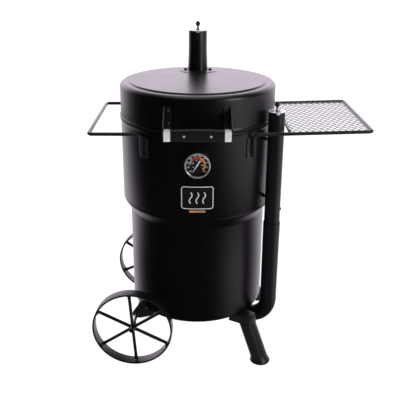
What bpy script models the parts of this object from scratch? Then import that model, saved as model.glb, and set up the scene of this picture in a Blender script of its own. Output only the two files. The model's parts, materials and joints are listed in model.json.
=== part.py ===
# Upright drum smoker: a necked steel drum on two splayed legs and a pair of spoked wheels,
# with a hinged lid, a chimney, an air pipe that feeds the floor, a side shelf and a lifting handle.
import math

import bmesh
import bpy
from mathutils import Matrix, Vector

# Driving sizes, in metres. Heights are above the ground, and x and y are from the drum's axis.
SHEET = 0.0018
GAP = 0.0003
DRUM_STEPS = 40
SMALL_STEPS = 20

UPPER_RADIUS = 0.273
LOWER_RADIUS = 0.248
DRUM_BOTTOM = 0.1666
RIM_HEIGHT = 0.880
UPPER_DEPTH = 0.2935
NECK_DEPTH = 0.0478
NECK_HIGH = RIM_HEIGHT - UPPER_DEPTH
NECK_LOW = NECK_HIGH - NECK_DEPTH
NECK_LAND = 0.004
RIM_BEAD = 0.003
BOTTOM_CORNER = 0.010
FLOOR_SEAT = 0.022

SEAL_HEIGHT = 0.0036
SEAL_WIDTH = 0.007
LID_DEPTH = 0.119
LID_SHOULDER = 0.016
LID_STEP_HEIGHT = 0.0045
LID_STEP_INSET = 0.033
LID_STEP_SLOPE = 0.003
LID_LIP = 0.003
LID_OPEN_GAP = 0.0002

CHIMNEY_Y = 0.166
CHIMNEY_RADIUS = 0.034
CHIMNEY_HEIGHT = 0.147
FLANGE_RADIUS = 0.0715
FLANGE_THICK = 0.003
TUBE_WALL = 0.0015

DAMPER_THICK = 0.0016
DAMPER_RIM = 0.0012
DAMPER_HOLES = 3
DAMPER_TAB_WIDTH = 0.011
DAMPER_TAB_LENGTH = 0.009
DAMPER_BOLT = 0.0025
KNOB_RADIUS = 0.0085
KNOB_HEIGHT = 0.018
SPRING_LENGTH = 0.014
SPRING_RADIUS = 0.0052
SPRING_WIRE = 0.0008
SPRING_TURNS = 4

PIPE_ANGLE = math.radians(-31)
PIPE_RADIUS = 0.0275
PIPE_STANDOFF = 0.0075
PIPE_TOP = RIM_HEIGHT + 0.050
PIPE_JOINT = NECK_LOW - 0.0107
PIPE_BEND = 0.090
PIPE_RISE_BEND = 0.034
PIPE_FLOOR_GAP = 0.009
PIPE_STUB = 0.012
STANDOFF_RADIUS = 0.006
STANDOFF_HEIGHTS = (RIM_HEIGHT - 0.050, NECK_HIGH + 0.0355)

HANDLE_BAR_LENGTH = 0.167
HANDLE_BAR_DEPTH = 0.024
HANDLE_BAR_HEIGHT = 0.036
HANDLE_BAR_BULGE = 0.14
HANDLE_REACH = 0.060
HANDLE_Z = RIM_HEIGHT + 0.018
HANDLE_BAR_EDGE = 0.007
FERRULE_LENGTH = 0.0205
FERRULE_EDGE = 0.005
BRACKET_SHEET = 0.003
LID_BRACKET_WIDTH = 0.026
LID_BRACKET_TOP = RIM_HEIGHT + 0.090
LID_BRACKET_BOTTOM = RIM_HEIGHT + 0.014

HINGE_REACH = 0.022
HINGE_Z = RIM_HEIGHT + 0.004
HINGE_WIDTH = 0.080
HINGE_EAR = 0.012
HINGE_EAR_RADIUS = 0.008
HINGE_PIN_RADIUS = 0.004
HINGE_CLEARANCE = 0.0005
HINGE_LEAF_HEIGHT = 0.040

ROD_RADIUS = 0.006
ROD_Z = RIM_HEIGHT - 0.0145
ROD_DROP = 0.078
ROD_BEND = 0.016
ROD_CORNER = 0.014
ROD_X = 0.185
HANDLE_ROD_REACH = UPPER_RADIUS + 0.091
SHELF_REACH = UPPER_RADIUS + 0.306
SHELF_TILT = math.radians(1.8)
SHELF_BAR_CLEAR = 0.0135
SHELF_MESH_EDGE = 0.004
SHELF_MESH_THICK = 0.0016
MESH_PITCH_X = 0.044
MESH_PITCH_Y = 0.068
MESH_STRAND = 0.0045
PLATE_WIDTH = 0.030
PLATE_HEIGHT = 0.070
PLATE_SHIFT = 0.007
PLATE_EDGE = 0.0008

GAUGE_Z = RIM_HEIGHT - 0.0963
GAUGE_RADIUS = 0.042
GAUGE_NECK = 0.005
GAUGE_DEPTH = 0.016
GAUGE_WALL = 0.0025
GAUGE_STEM_RADIUS = 0.0035
GAUGE_STEM_LENGTH = 0.110
DIAL_THICK = 0.001
LENS_THICK = 0.002
LENS_SEAT = 0.004
GAUGE_NEEDLE_LENGTH = 0.0305
GAUGE_NEEDLE_THICK = 0.0007
GAUGE_NEEDLE_ANGLE = math.radians(-149)

BADGE_Z = NECK_HIGH + 0.0795
BADGE_WIDTH = 0.112
BADGE_HEIGHT = 0.086
BADGE_THICK = 0.0015
BADGE_CORNER = 0.012

BASE_TURN = math.radians(-4)
LEG_PIPE_CLEAR = 0.00258
LEG_RADIUS = 0.0315
LEG_TOP_REACH = 0.262
LEG_FOOT_REACH = 0.331
LEG_BRACKET_DEPTH = 0.027
LEG_BRACKET_NOSE = 0.0335
LEG_BRACKET_ROOT = 0.214
LEG_BRACKET_SPREAD = 0.050
LEG_BRACKET_NARROW = 0.017
FOOT_RADIUS = 0.0365
FOOT_HEIGHT = 0.008
FOOT_TAPER = 0.002

WHEEL_RADIUS = 0.145
WHEEL_WIDTH = 0.037
WHEEL_TRACK = 0.278
WHEEL_X = -0.215
RIM_THICK = 0.005
SPOKES = 6
SPOKE_START = math.radians(34)
SPOKE_WIDTH = 0.0095
SPOKE_THICK = 0.0085
HUB_RADIUS = 0.0115
HUB_LENGTH = 0.044
AXLE_RADIUS = 0.006
AXLE_CAP_RADIUS = 0.0098
AXLE_CAP_LENGTH = 0.0045
AXLE_BRACKET_Y = 0.172
AXLE_BRACKET_RISE = 0.036
AXLE_BRACKET_INNER_X = -0.120
AXLE_BRACKET_MARGIN = 0.016

GRATE_Z = RIM_HEIGHT - 0.062
GRATE_THICK = 0.005
GRATE_CLEARANCE = 0.008
GRATE_BAR = 0.006
GRATE_SLOT = 0.014
GRATE_RIB = 0.008
HANGERS = 3
HANGER_GAP = 0.0018
HANGER_LENGTH = 0.022
HANGER_WIDTH = 0.020
HANGER_THICK = 0.005
PAN_RADIUS = 0.195
PAN_HEIGHT = 0.035
PAN_LEG_HEIGHT = 0.032
PAN_LEG_RADIUS = 0.008
PAN_LEG_REACH = 0.130
BASKET_RADIUS = 0.170
BASKET_HEIGHT = 0.200
INNER_SHEET = 0.0020

# Derived sizes.
LID_BOTTOM = RIM_HEIGHT + GAP + SEAL_HEIGHT + LID_OPEN_GAP
LID_RADIUS = UPPER_RADIUS + 0.0005
LID_TOP = LID_BOTTOM + LID_DEPTH
LID_RING = LID_TOP + LID_STEP_HEIGHT
STEP_RADIUS = LID_RADIUS - LID_STEP_INSET
CHIMNEY_TOP = LID_RING + GAP + CHIMNEY_HEIGHT
PIPE_REACH = UPPER_RADIUS + PIPE_STANDOFF + PIPE_RADIUS
PIPE_OUTER = PIPE_RADIUS + GAP + TUBE_WALL
SHELF_BAR_X = PIPE_REACH * math.cos(PIPE_ANGLE) + PIPE_RADIUS + SHELF_BAR_CLEAR
PIPE_RUN_Z = DRUM_BOTTOM - PIPE_FLOOR_GAP - PIPE_OUTER
FLOOR_LOW = DRUM_BOTTOM + SHEET + GAP
FLOOR_TOP = FLOOR_LOW + SHEET
LEG_OFFSET = PIPE_OUTER + LEG_PIPE_CLEAR + LEG_RADIUS
LEG_ANGLE = BASE_TURN - PIPE_ANGLE + math.asin(LEG_OFFSET / LEG_TOP_REACH)
ROD_CLEAR = UPPER_RADIUS + GAP + BRACKET_SHEET + GAP + ROD_RADIUS
ROD_Y = math.sqrt(ROD_CLEAR ** 2 - ROD_X ** 2)
RIM_INNER = WHEEL_RADIUS - RIM_THICK
LEG_TOP = DRUM_BOTTOM - GAP - LEG_BRACKET_DEPTH - GAP

smoker = bpy.data.collections.new("drum_smoker")
cutters = bpy.data.collections.new("cutters")


def clear_scene():
    for obj in list(bpy.data.objects):
        bpy.data.objects.remove(obj, do_unlink=True)
    bpy.context.scene.collection.children.link(smoker)
    bpy.context.scene.collection.children.link(cutters)
    cutters.hide_render = True


def make_material(name, colour, roughness, metallic):
    material = bpy.data.materials.new(name)
    material.use_nodes = True
    shader = material.node_tree.nodes["Principled BSDF"]
    shader.inputs["Base Color"].default_value = (*colour, 1)
    shader.inputs["Roughness"].default_value = roughness
    shader.inputs["Metallic"].default_value = metallic
    return material


def add_empty(name, parent, location=(0, 0, 0), rotation=(0, 0, 0)):
    empty = bpy.data.objects.new(name, None)
    empty.parent = parent
    empty.location = location
    empty.rotation_euler = rotation
    smoker.objects.link(empty)
    return empty


def add_part(name, data, finish, parent, location=(0, 0, 0), rotation=(0, 0, 0)):
    """Puts the mesh or curve in the smoker's collection with a material of its own."""
    obj = bpy.data.objects.new(name, data)
    obj.data.materials.append(make_material(name, *finish))
    obj.parent = parent
    obj.location = location
    obj.rotation_euler = rotation
    smoker.objects.link(obj)
    return obj


def add_cutter(name, data, parent, location=(0, 0, 0), rotation=(0, 0, 0)):
    obj = bpy.data.objects.new(name, data)
    obj.parent = parent
    obj.location = location
    obj.rotation_euler = rotation
    obj.display_type = "WIRE"
    obj.hide_render = True
    cutters.objects.link(obj)
    return obj


def combine(obj, other, operation):
    """Adds an exact Boolean with the other object."""
    modifier = obj.modifiers.new(operation.title(), "BOOLEAN")
    modifier.operation = operation
    modifier.solver = "EXACT"
    modifier.object = other


def round_edges(obj, width, segments=2):
    modifier = obj.modifiers.new("Rounding", "BEVEL")
    modifier.width = width
    modifier.segments = segments
    modifier.limit_method = "ANGLE"
    modifier.angle_limit = math.radians(40)


def shade_round(mesh):
    mesh.shade_smooth()
    mesh.set_sharp_from_angle(angle=math.radians(35))


def mesh_from(name, build):
    """Makes a mesh from a function that fills a bmesh."""
    mesh = bpy.data.meshes.new(name)
    bm = bmesh.new()
    build(bm)
    bmesh.ops.recalc_face_normals(bm, faces=bm.faces)
    bm.to_mesh(mesh)
    bm.free()
    return mesh


def box_mesh(name, size, centre=(0, 0, 0)):
    def build(bm):
        place = Matrix.Translation(centre) @ Matrix.Diagonal((*size, 1))
        bmesh.ops.create_cube(bm, size=1, matrix=place)
    return mesh_from(name, build)


def cylinder_mesh(name, radius, low, high, steps=SMALL_STEPS, centres=((0, 0),)):
    """One closed upright cylinder at each centre, from low to high."""
    def build(bm):
        for x, y in centres:
            place = Matrix.Translation((x, y, (low + high) / 2))
            bmesh.ops.create_cone(
                bm, cap_ends=True, segments=steps, radius1=radius, radius2=radius,
                depth=high - low, matrix=place)
    mesh = mesh_from(name, build)
    shade_round(mesh)
    return mesh


def profile_mesh(name, points, closed):
    """The edges of a turned profile, given as (radius, height) points."""
    def build(bm):
        corners = [bm.verts.new((radius, 0, height)) for radius, height in points]
        for first, second in zip(corners, corners[1:]):
            bm.edges.new((first, second))
        if closed:
            bm.edges.new((corners[-1], corners[0]))
    return mesh_from(name, build)


def turn(obj, steps):
    modifier = obj.modifiers.new("Turning", "SCREW")
    modifier.steps = steps
    modifier.render_steps = steps
    modifier.use_merge_vertices = True
    modifier.merge_threshold = 0.00001
    modifier.use_smooth_shade = True


def turned_part(name, points, finish, parent, location=(0, 0, 0), rotation=(0, 0, 0), steps=SMALL_STEPS,
                closed=True):
    """A solid of revolution. The points run down the outer side, and back up inside or on the axis."""
    obj = add_part(name, profile_mesh(name, points, closed), finish, parent, location, rotation)
    turn(obj, steps)
    return obj


def shell_part(name, points, thickness, finish, parent, location=(0, 0, 0)):
    """A turned sheet whose outer side is the profile."""
    obj = turned_part(name, points, finish, parent, location, steps=DRUM_STEPS, closed=False)
    modifier = obj.modifiers.new("Sheet", "SOLIDIFY")
    modifier.thickness = thickness
    modifier.offset = -1
    modifier.use_even_offset = True
    return obj


def arc(centre, radius, start, end, steps):
    """Points of an arc in degrees, both ends included."""
    angles = [math.radians(start + (end - start) * step / steps) for step in range(steps + 1)]
    return [(centre[0] + radius * math.cos(a), centre[1] + radius * math.sin(a)) for a in angles]


def rounded_path(corners, radii, steps=5):
    """The corners joined by straight runs, each inner corner replaced by an arc."""
    corners = [Vector(corner) for corner in corners]
    path = [corners[0]]
    for index in range(1, len(corners) - 1):
        corner = corners[index]
        before = (corners[index - 1] - corner).normalized()
        after = (corners[index + 1] - corner).normalized()
        half = before.angle(after) / 2
        radius = radii[index - 1]
        centre = corner + (before + after).normalized() * radius / math.sin(half)
        start = corner + before * radius / math.tan(half) - centre
        end = corner + after * radius / math.tan(half) - centre
        turn_axis = start.cross(end)
        sweep = start.angle(end)
        for step in range(steps + 1):
            path.append(centre + Matrix.Rotation(sweep * step / steps, 3, turn_axis) @ start)
    path.append(corners[-1])
    return path


def path_curve(name, points, radius, capped=True, resolution=3):
    curve = bpy.data.curves.new(name, "CURVE")
    curve.dimensions = "3D"
    spline = curve.splines.new("POLY")
    spline.points.add(len(points) - 1)
    for target, point in zip(spline.points, points):
        target.co = (*point, 1)
    curve.bevel_depth = radius
    curve.bevel_resolution = resolution
    curve.use_fill_caps = capped
    return curve


def flat_curve(name, outlines, thickness):
    """A flat plate in the local XY plane: the first outline is its edge and the others are its holes."""
    curve = bpy.data.curves.new(name, "CURVE")
    curve.dimensions = "2D"
    curve.fill_mode = "BOTH"
    curve.extrude = thickness / 2
    for outline in outlines:
        spline = curve.splines.new("POLY")
        spline.points.add(len(outline) - 1)
        spline.use_cyclic_u = True
        for target, (x, y) in zip(spline.points, outline):
            target.co = (x, y, 0, 1)
    return curve


def curve_as_mesh(name, curve):
    """The welded mesh of a curve, for a piece that is cut, joined or thickened."""
    source = bpy.data.objects.new(name + "_curve", curve)
    bpy.context.scene.collection.objects.link(source)
    bpy.context.view_layer.update()
    graph = bpy.context.evaluated_depsgraph_get()
    mesh = bpy.data.meshes.new_from_object(source.evaluated_get(graph))
    bpy.data.objects.remove(source, do_unlink=True)
    bm = bmesh.new()
    bm.from_mesh(mesh)
    bmesh.ops.remove_doubles(bm, verts=bm.verts, dist=0.00001)
    bmesh.ops.recalc_face_normals(bm, faces=bm.faces)
    bm.to_mesh(mesh)
    bm.free()
    return mesh


def circle(centre, radius, steps=SMALL_STEPS):
    return arc(centre, radius, 0, 360 - 360 / steps, steps - 1)


# Finishes: colour, roughness and metallic value.
BLACK_COAT = ((0.022, 0.021, 0.023), 0.42, 0.35)
BLACK_PIPE = ((0.030, 0.028, 0.032), 0.38, 0.4)
STEEL = ((0.55, 0.55, 0.56), 0.28, 1.0)
DARK_STEEL = ((0.16, 0.16, 0.17), 0.4, 1.0)
CHROME = ((0.75, 0.75, 0.76), 0.12, 1.0)
MESH_STEEL = ((0.50, 0.49, 0.50), 0.4, 0.9)
BLACK_PLASTIC = ((0.015, 0.015, 0.016), 0.5, 0.0)
DIAL_BLACK = ((0.02, 0.02, 0.022), 0.55, 0.0)
WHITE_PAINT = ((0.8, 0.8, 0.8), 0.5, 0.0)
GLASS = ((0.85, 0.88, 0.9), 0.03, 0.0)
SEAL_GREY = ((0.10, 0.10, 0.10), 0.9, 0.0)
ENAMEL = ((0.03, 0.03, 0.032), 0.25, 0.1)
BADGE_METAL = ((0.45, 0.42, 0.36), 0.35, 1.0)


def make_drum(root):
    upper = [
        (UPPER_RADIUS + RIM_BEAD / 2, RIM_HEIGHT),
        (UPPER_RADIUS + RIM_BEAD, RIM_HEIGHT - RIM_BEAD / 2),
        (UPPER_RADIUS + RIM_BEAD, RIM_HEIGHT - RIM_BEAD * 2),
        (UPPER_RADIUS, RIM_HEIGHT - RIM_BEAD * 3),
        (UPPER_RADIUS, NECK_HIGH + GAP),
    ]
    shell = shell_part("drum_upper_shell", upper, SHEET, BLACK_COAT, root)
    bore = cylinder_mesh("gauge_hole", GAUGE_STEM_RADIUS + GAP, -SHEET * 4, SHEET * 2)
    combine(shell, add_cutter("gauge_hole", bore, root, (0, -UPPER_RADIUS, GAUGE_Z),
                              (math.pi / 2, 0, 0)), "DIFFERENCE")
    corner = LOWER_RADIUS - BOTTOM_CORNER
    lower = [(UPPER_RADIUS, NECK_HIGH), (UPPER_RADIUS, NECK_HIGH - NECK_LAND), (LOWER_RADIUS, NECK_LOW)]
    lower += arc((corner, DRUM_BOTTOM + BOTTOM_CORNER), BOTTOM_CORNER, 0, -90, 4)
    lower += [(LOWER_RADIUS - FLOOR_SEAT, DRUM_BOTTOM)]
    shell_part("drum_lower_shell", lower, SHEET, BLACK_COAT, root)
    floor_edge = corner - SHEET
    stub_hole = PIPE_OUTER + GAP
    turned_part("drum_floor", [
        (floor_edge, FLOOR_TOP), (floor_edge, FLOOR_LOW), (stub_hole, FLOOR_LOW), (stub_hole, FLOOR_TOP),
    ], BLACK_COAT, root, steps=DRUM_STEPS)
    seal_out = UPPER_RADIUS + RIM_BEAD / 4
    seal_low = RIM_HEIGHT + GAP
    turned_part("lid_seal", [
        (seal_out, seal_low + SEAL_HEIGHT), (seal_out, seal_low),
        (seal_out - SEAL_WIDTH, seal_low), (seal_out - SEAL_WIDTH, seal_low + SEAL_HEIGHT),
    ], SEAL_GREY, root, steps=DRUM_STEPS)


def make_air_pipe(root):
    frame = add_empty("air_pipe_plane", root, rotation=(0, 0, PIPE_ANGLE))
    foot = PIPE_JOINT + GAP
    damper_tube("intake_pipe_upper", PIPE_RADIUS, foot, PIPE_TOP, frame, PIPE_REACH, 0)
    route = rounded_path([
        (PIPE_REACH, 0, PIPE_JOINT), (PIPE_REACH, 0, PIPE_RUN_Z), (0, 0, PIPE_RUN_Z),
        (0, 0, FLOOR_TOP + PIPE_STUB)], (PIPE_BEND, PIPE_RISE_BEND), steps=7)
    curve = path_curve("intake_pipe_lower", route, PIPE_OUTER, capped=False, resolution=4)
    lower = add_part("intake_pipe_lower", curve_as_mesh("intake_pipe_lower", curve), BLACK_PIPE, frame)
    shade_round(lower.data)
    modifier = lower.modifiers.new("Wall", "SOLIDIFY")
    modifier.thickness = TUBE_WALL
    modifier.offset = -1
    start = UPPER_RADIUS + GAP
    end = PIPE_REACH - PIPE_RADIUS - GAP
    for index, height in enumerate(STANDOFF_HEIGHTS):
        label = ("top", "bottom")[index]
        rod = cylinder_mesh("standoff", STANDOFF_RADIUS, start, end)
        add_part(f"intake_standoff_{label}", rod, DARK_STEEL, frame, (0, 0, height), (0, math.pi / 2, 0))
    add_damper("intake", PIPE_RADIUS, PIPE_TOP, frame, PIPE_REACH, 0, -PIPE_ANGLE)


def damper_tube(name, radius, low, high, parent, x, y):
    """A tube whose top is a plate with a ring of holes and a bolt hole."""
    inner = radius - TUBE_WALL
    bolt_hole = DAMPER_BOLT + GAP
    plate_low = high - DAMPER_THICK
    tube = turned_part(name, [
        (radius, high), (radius, low), (inner, low), (inner, plate_low),
        (bolt_hole, plate_low), (bolt_hole, high),
    ], BLACK_PIPE, parent, (x, y, 0), steps=24)
    holes = cylinder_mesh(name + "_holes", damper_hole_radius(radius), plate_low - TUBE_WALL,
                          high + TUBE_WALL, steps=16, centres=damper_hole_centres(radius))
    combine(tube, add_cutter(name + "_holes", holes, parent, (x, y, 0)), "DIFFERENCE")
    return tube


def damper_hole_radius(radius):
    return radius * 0.27


def damper_hole_centres(radius):
    """The air holes, with one solid sector facing the front."""
    ring = radius * 0.56
    angles = [math.pi / 2 + 2 * math.pi * index / DAMPER_HOLES for index in range(DAMPER_HOLES)]
    return [(ring * math.cos(a), ring * math.sin(a)) for a in angles]


def add_damper(label, radius, top, parent, x, y, turn_back):
    """A disc with the tube's holes that turns on a bolt, under a spring and an acorn knob."""
    pivot = add_empty(f"{label}_damper_pivot", parent, (x, y, top), (0, 0, turn_back))
    edge = radius + DAMPER_RIM
    half_tab = math.degrees(math.asin(DAMPER_TAB_WIDTH / 2 / edge))
    outline = arc((0, 0), edge, -90 + half_tab, 270 - half_tab, 28)
    tab_end = -edge - DAMPER_TAB_LENGTH
    outline += [(-DAMPER_TAB_WIDTH / 2, tab_end), (DAMPER_TAB_WIDTH / 2, tab_end)]
    holes = [circle((0, 0), DAMPER_BOLT + GAP, 10)]
    # The pivot may be turned from the tube, so the disc's holes are turned back to meet the tube's.
    for hx, hy in damper_hole_centres(radius):
        centre = Matrix.Rotation(-turn_back, 2) @ Vector((hx, hy))
        holes.append(circle(centre, damper_hole_radius(radius), 16))
    disc_z = GAP + DAMPER_THICK / 2
    add_part(f"{label}_damper", flat_curve(f"{label}_damper", [outline] + holes, DAMPER_THICK),
             DARK_STEEL, pivot, (0, 0, disc_z))
    spring_low = GAP + DAMPER_THICK + GAP
    knob_low = spring_low + SPRING_LENGTH + GAP
    add_spring(f"{label}_damper_spring", pivot, spring_low)
    head = DAMPER_BOLT * 2
    under = -DAMPER_THICK - GAP
    acorn = [(KNOB_RADIUS * math.sin(a), knob_low + KNOB_HEIGHT * (0.45 + 0.55 * math.cos(a)))
             for a in [math.radians(10 + 80 * step / 5) for step in range(6)]]
    knob = [(0, knob_low + KNOB_HEIGHT)] + acorn
    knob += [(KNOB_RADIUS * 0.72, knob_low), (DAMPER_BOLT, knob_low), (DAMPER_BOLT, under), (head, under),
             (head, under - DAMPER_BOLT), (0, under - DAMPER_BOLT)]
    turned_part(f"{label}_damper_knob", knob, BLACK_PLASTIC, pivot, steps=16, closed=False)


def add_spring(name, parent, low):
    count = SPRING_TURNS * 7
    span = SPRING_LENGTH - 2 * SPRING_WIRE
    points = []
    for index in range(count + 1):
        angle = 2 * math.pi * index / 7
        height = low + SPRING_WIRE + span * index / count
        points.append((SPRING_RADIUS * math.cos(angle), SPRING_RADIUS * math.sin(angle), height))
    add_part(name, path_curve(name, points, SPRING_WIRE, resolution=1), CHROME, parent)


def make_lid(root):
    hinge_y = UPPER_RADIUS + HINGE_REACH
    lid = add_empty("lid_hinge_axis", root, (0, hinge_y, HINGE_Z))
    inside = add_empty("lid_centre", lid, (0, -hinge_y, -HINGE_Z))
    shoulder = (LID_RADIUS - LID_SHOULDER, LID_TOP - LID_SHOULDER)
    outline = [(0, LID_RING), (STEP_RADIUS, LID_RING), (STEP_RADIUS + LID_STEP_SLOPE, LID_TOP)]
    outline += arc(shoulder, LID_SHOULDER, 90, 0, 5)
    outline += [
        (LID_RADIUS, LID_BOTTOM + LID_LIP * 3),
        (LID_RADIUS + LID_LIP, LID_BOTTOM + LID_LIP * 2),
        (LID_RADIUS + LID_LIP, LID_BOTTOM + LID_LIP / 2),
        (LID_RADIUS + LID_LIP / 2, LID_BOTTOM),
    ]
    shell = shell_part("lid_shell", outline, SHEET, BLACK_COAT, inside)
    inner = CHIMNEY_RADIUS - TUBE_WALL
    bore = cylinder_mesh("chimney_hole", inner, LID_TOP - SHEET * 4, LID_RING + SHEET * 2, steps=24,
                         centres=((0, CHIMNEY_Y),))
    combine(shell, add_cutter("chimney_hole", bore, inside), "DIFFERENCE")
    make_chimney(inside)
    make_lid_handle(inside)
    make_lid_hinge(root, inside, hinge_y)


def make_chimney(lid):
    low = LID_RING + GAP
    flange_in = CHIMNEY_RADIUS + GAP
    turned_part("chimney_flange", [
        (FLANGE_RADIUS, low + FLANGE_THICK / 2), (FLANGE_RADIUS, low), (flange_in, low),
        (flange_in, low + FLANGE_THICK * 2), (flange_in + SHEET, low + FLANGE_THICK * 2),
        (flange_in + FLANGE_THICK * 1.5, low + FLANGE_THICK),
        (FLANGE_RADIUS - FLANGE_THICK / 2, low + FLANGE_THICK),
    ], BLACK_COAT, lid, (0, CHIMNEY_Y, 0), steps=32)
    damper_tube("chimney_tube", CHIMNEY_RADIUS, low, CHIMNEY_TOP, lid, 0, CHIMNEY_Y)
    add_damper("chimney", CHIMNEY_RADIUS, CHIMNEY_TOP, lid, 0, CHIMNEY_Y, 0)


def make_lid_handle(lid):
    bar_y = -LID_RADIUS - HANDLE_REACH
    half = HANDLE_BAR_LENGTH / 2

    def build(bm):
        size = Matrix.Diagonal((HANDLE_BAR_LENGTH, HANDLE_BAR_DEPTH, HANDLE_BAR_HEIGHT, 1))
        bmesh.ops.create_cube(bm, size=1, matrix=size)
        along = [edge for edge in bm.edges if abs(edge.verts[0].co.x - edge.verts[1].co.x) > half]
        bmesh.ops.subdivide_edges(bm, edges=along, cuts=9, use_grid_fill=True)
        for vertex in bm.verts:
            swell = 1 + HANDLE_BAR_BULGE * (1 - (vertex.co.x / half) ** 2)
            vertex.co.z *= swell
            vertex.co.y *= swell
    bar = add_part("lid_handle_bar", mesh_from("lid_handle_bar", build), BLACK_PLASTIC, lid,
                   (0, bar_y, HANDLE_Z))
    round_edges(bar, HANDLE_BAR_EDGE, 3)
    ferrule_x = half + GAP + FERRULE_LENGTH / 2
    for side, label in ((-1, "left"), (1, "right")):
        size = (FERRULE_LENGTH, HANDLE_BAR_DEPTH, HANDLE_BAR_HEIGHT)
        ferrule = add_part(f"lid_handle_ferrule_{label}", box_mesh("ferrule", size), STEEL, lid,
                           (side * ferrule_x, bar_y, HANDLE_Z))
        round_edges(ferrule, FERRULE_EDGE, 2)
        add_lid_bracket(f"lid_handle_bracket_{label}", side, lid, bar_y)


def add_lid_bracket(name, side, lid, bar_y):
    """A flange against the lid and a web that widens down to the handle's end."""
    web_x = HANDLE_BAR_LENGTH / 2 + GAP + FERRULE_LENGTH + GAP + BRACKET_SHEET / 2
    wall_y = math.sqrt(LID_RADIUS ** 2 - (web_x - BRACKET_SHEET / 2) ** 2) + GAP
    front = -bar_y + HANDLE_BAR_DEPTH / 2
    low = HANDLE_Z - HANDLE_BAR_HEIGHT / 2
    web = [
        (wall_y, LID_BRACKET_TOP), (wall_y + BRACKET_SHEET * 2, LID_BRACKET_TOP),
        (front - BRACKET_SHEET * 2, low + HANDLE_BAR_HEIGHT + BRACKET_SHEET),
        (front, low + HANDLE_BAR_HEIGHT - BRACKET_SHEET), (front, low + BRACKET_SHEET),
        (front - BRACKET_SHEET, low), (bar_y * -1 - HANDLE_BAR_DEPTH, low),
        (wall_y + BRACKET_SHEET, LID_BRACKET_BOTTOM), (wall_y, LID_BRACKET_BOTTOM),
    ]
    mesh = curve_as_mesh(name, flat_curve(name, [web], BRACKET_SHEET))
    # The web's own plane is X = distance in front, Y = height, so it is stood up facing sideways.
    stand = Matrix(((0, 0, 1, side * web_x), (-1, 0, 0, 0), (0, 1, 0, 0), (0, 0, 0, 1)))
    mesh.transform(stand)
    bracket = add_part(name, mesh, BLACK_COAT, lid)
    angle = math.asin((web_x - LID_BRACKET_WIDTH / 2) / LID_RADIUS)
    reach = LID_RADIUS + GAP * 2 + BRACKET_SHEET / 2
    flange = box_mesh(name + "_flange",
                      (LID_BRACKET_WIDTH, BRACKET_SHEET, LID_BRACKET_TOP - LID_BRACKET_BOTTOM))
    place = (side * reach * math.sin(angle), -reach * math.cos(angle),
             (LID_BRACKET_TOP + LID_BRACKET_BOTTOM) / 2)
    combine(bracket, add_cutter(name + "_flange", flange, lid, place, (0, 0, side * angle)), "UNION")


def make_lid_hinge(root, lid, hinge_y):
    """Two ears on the drum's leaf, one wide lug on the lid's leaf, and a pin through them."""
    leaf_y = UPPER_RADIUS + GAP * 4 + BRACKET_SHEET / 2
    half = HINGE_WIDTH / 2
    ear_x = half - HINGE_EAR / 2
    drum_top = RIM_HEIGHT - RIM_BEAD * 3 - GAP
    drum_low = drum_top - HINGE_LEAF_HEIGHT
    leaf = box_mesh("hinge_drum_leaf", (HINGE_WIDTH, BRACKET_SHEET, HINGE_LEAF_HEIGHT),
                    (0, 0, (drum_top + drum_low) / 2))
    drum_leaf = add_part("hinge_drum_leaf", leaf, BLACK_COAT, root, (0, leaf_y, 0))
    outer = leaf_y + BRACKET_SHEET / 4
    ear = [(outer, drum_low), (outer, drum_top)]
    ear += arc((hinge_y, HINGE_Z), HINGE_EAR_RADIUS, 170, -60, 8)
    for side in (-1, 1):
        add_hinge_ear(drum_leaf, f"hinge_ear_{side + 1}", ear, HINGE_EAR, side * ear_x, root)
    lug_width = HINGE_WIDTH - 2 * HINGE_EAR - 2 * HINGE_CLEARANCE
    lid_low = LID_BOTTOM + LID_LIP * 3 + GAP
    lid_top = lid_low + HINGE_LEAF_HEIGHT
    lid_leaf_y = LID_RADIUS + GAP * 4 + BRACKET_SHEET / 2
    leaf = box_mesh("hinge_lid_leaf", (HINGE_WIDTH, BRACKET_SHEET, HINGE_LEAF_HEIGHT),
                    (0, 0, (lid_top + lid_low) / 2))
    lid_leaf = add_part("hinge_lid_leaf", leaf, BLACK_COAT, lid, (0, lid_leaf_y, 0))
    outer = lid_leaf_y + BRACKET_SHEET / 4
    lug = arc((hinge_y, HINGE_Z), HINGE_EAR_RADIUS, 40, -190, 8) + [(outer, lid_low), (outer, lid_top)]
    add_hinge_ear(lid_leaf, "hinge_lug", lug, lug_width, 0, lid)
    for leaf, parent in ((drum_leaf, root), (lid_leaf, lid)):
        bore = cylinder_mesh("pin_hole", HINGE_PIN_RADIUS + GAP, -HINGE_WIDTH, HINGE_WIDTH)
        combine(leaf, add_cutter(f"{leaf.name}_pin_hole", bore, parent, (0, hinge_y, HINGE_Z),
                                 (0, math.pi / 2, 0)), "DIFFERENCE")
    pin = cylinder_mesh("hinge_pin", HINGE_PIN_RADIUS, -half - HINGE_PIN_RADIUS, half + HINGE_PIN_RADIUS)
    add_part("hinge_pin", pin, STEEL, root, (0, hinge_y, HINGE_Z), (0, math.pi / 2, 0))


def add_hinge_ear(leaf, name, outline, width, x, parent):
    """Joins a plate to a hinge leaf: the outline's first value is y and its second is z."""
    mesh = curve_as_mesh(name, flat_curve(name, [outline], width))
    stand = Matrix(((0, 0, 1, x), (1, 0, 0, 0), (0, 1, 0, 0), (0, 0, 0, 1)))
    mesh.transform(stand)
    combine(leaf, add_cutter(name, mesh, parent), "UNION")


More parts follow.
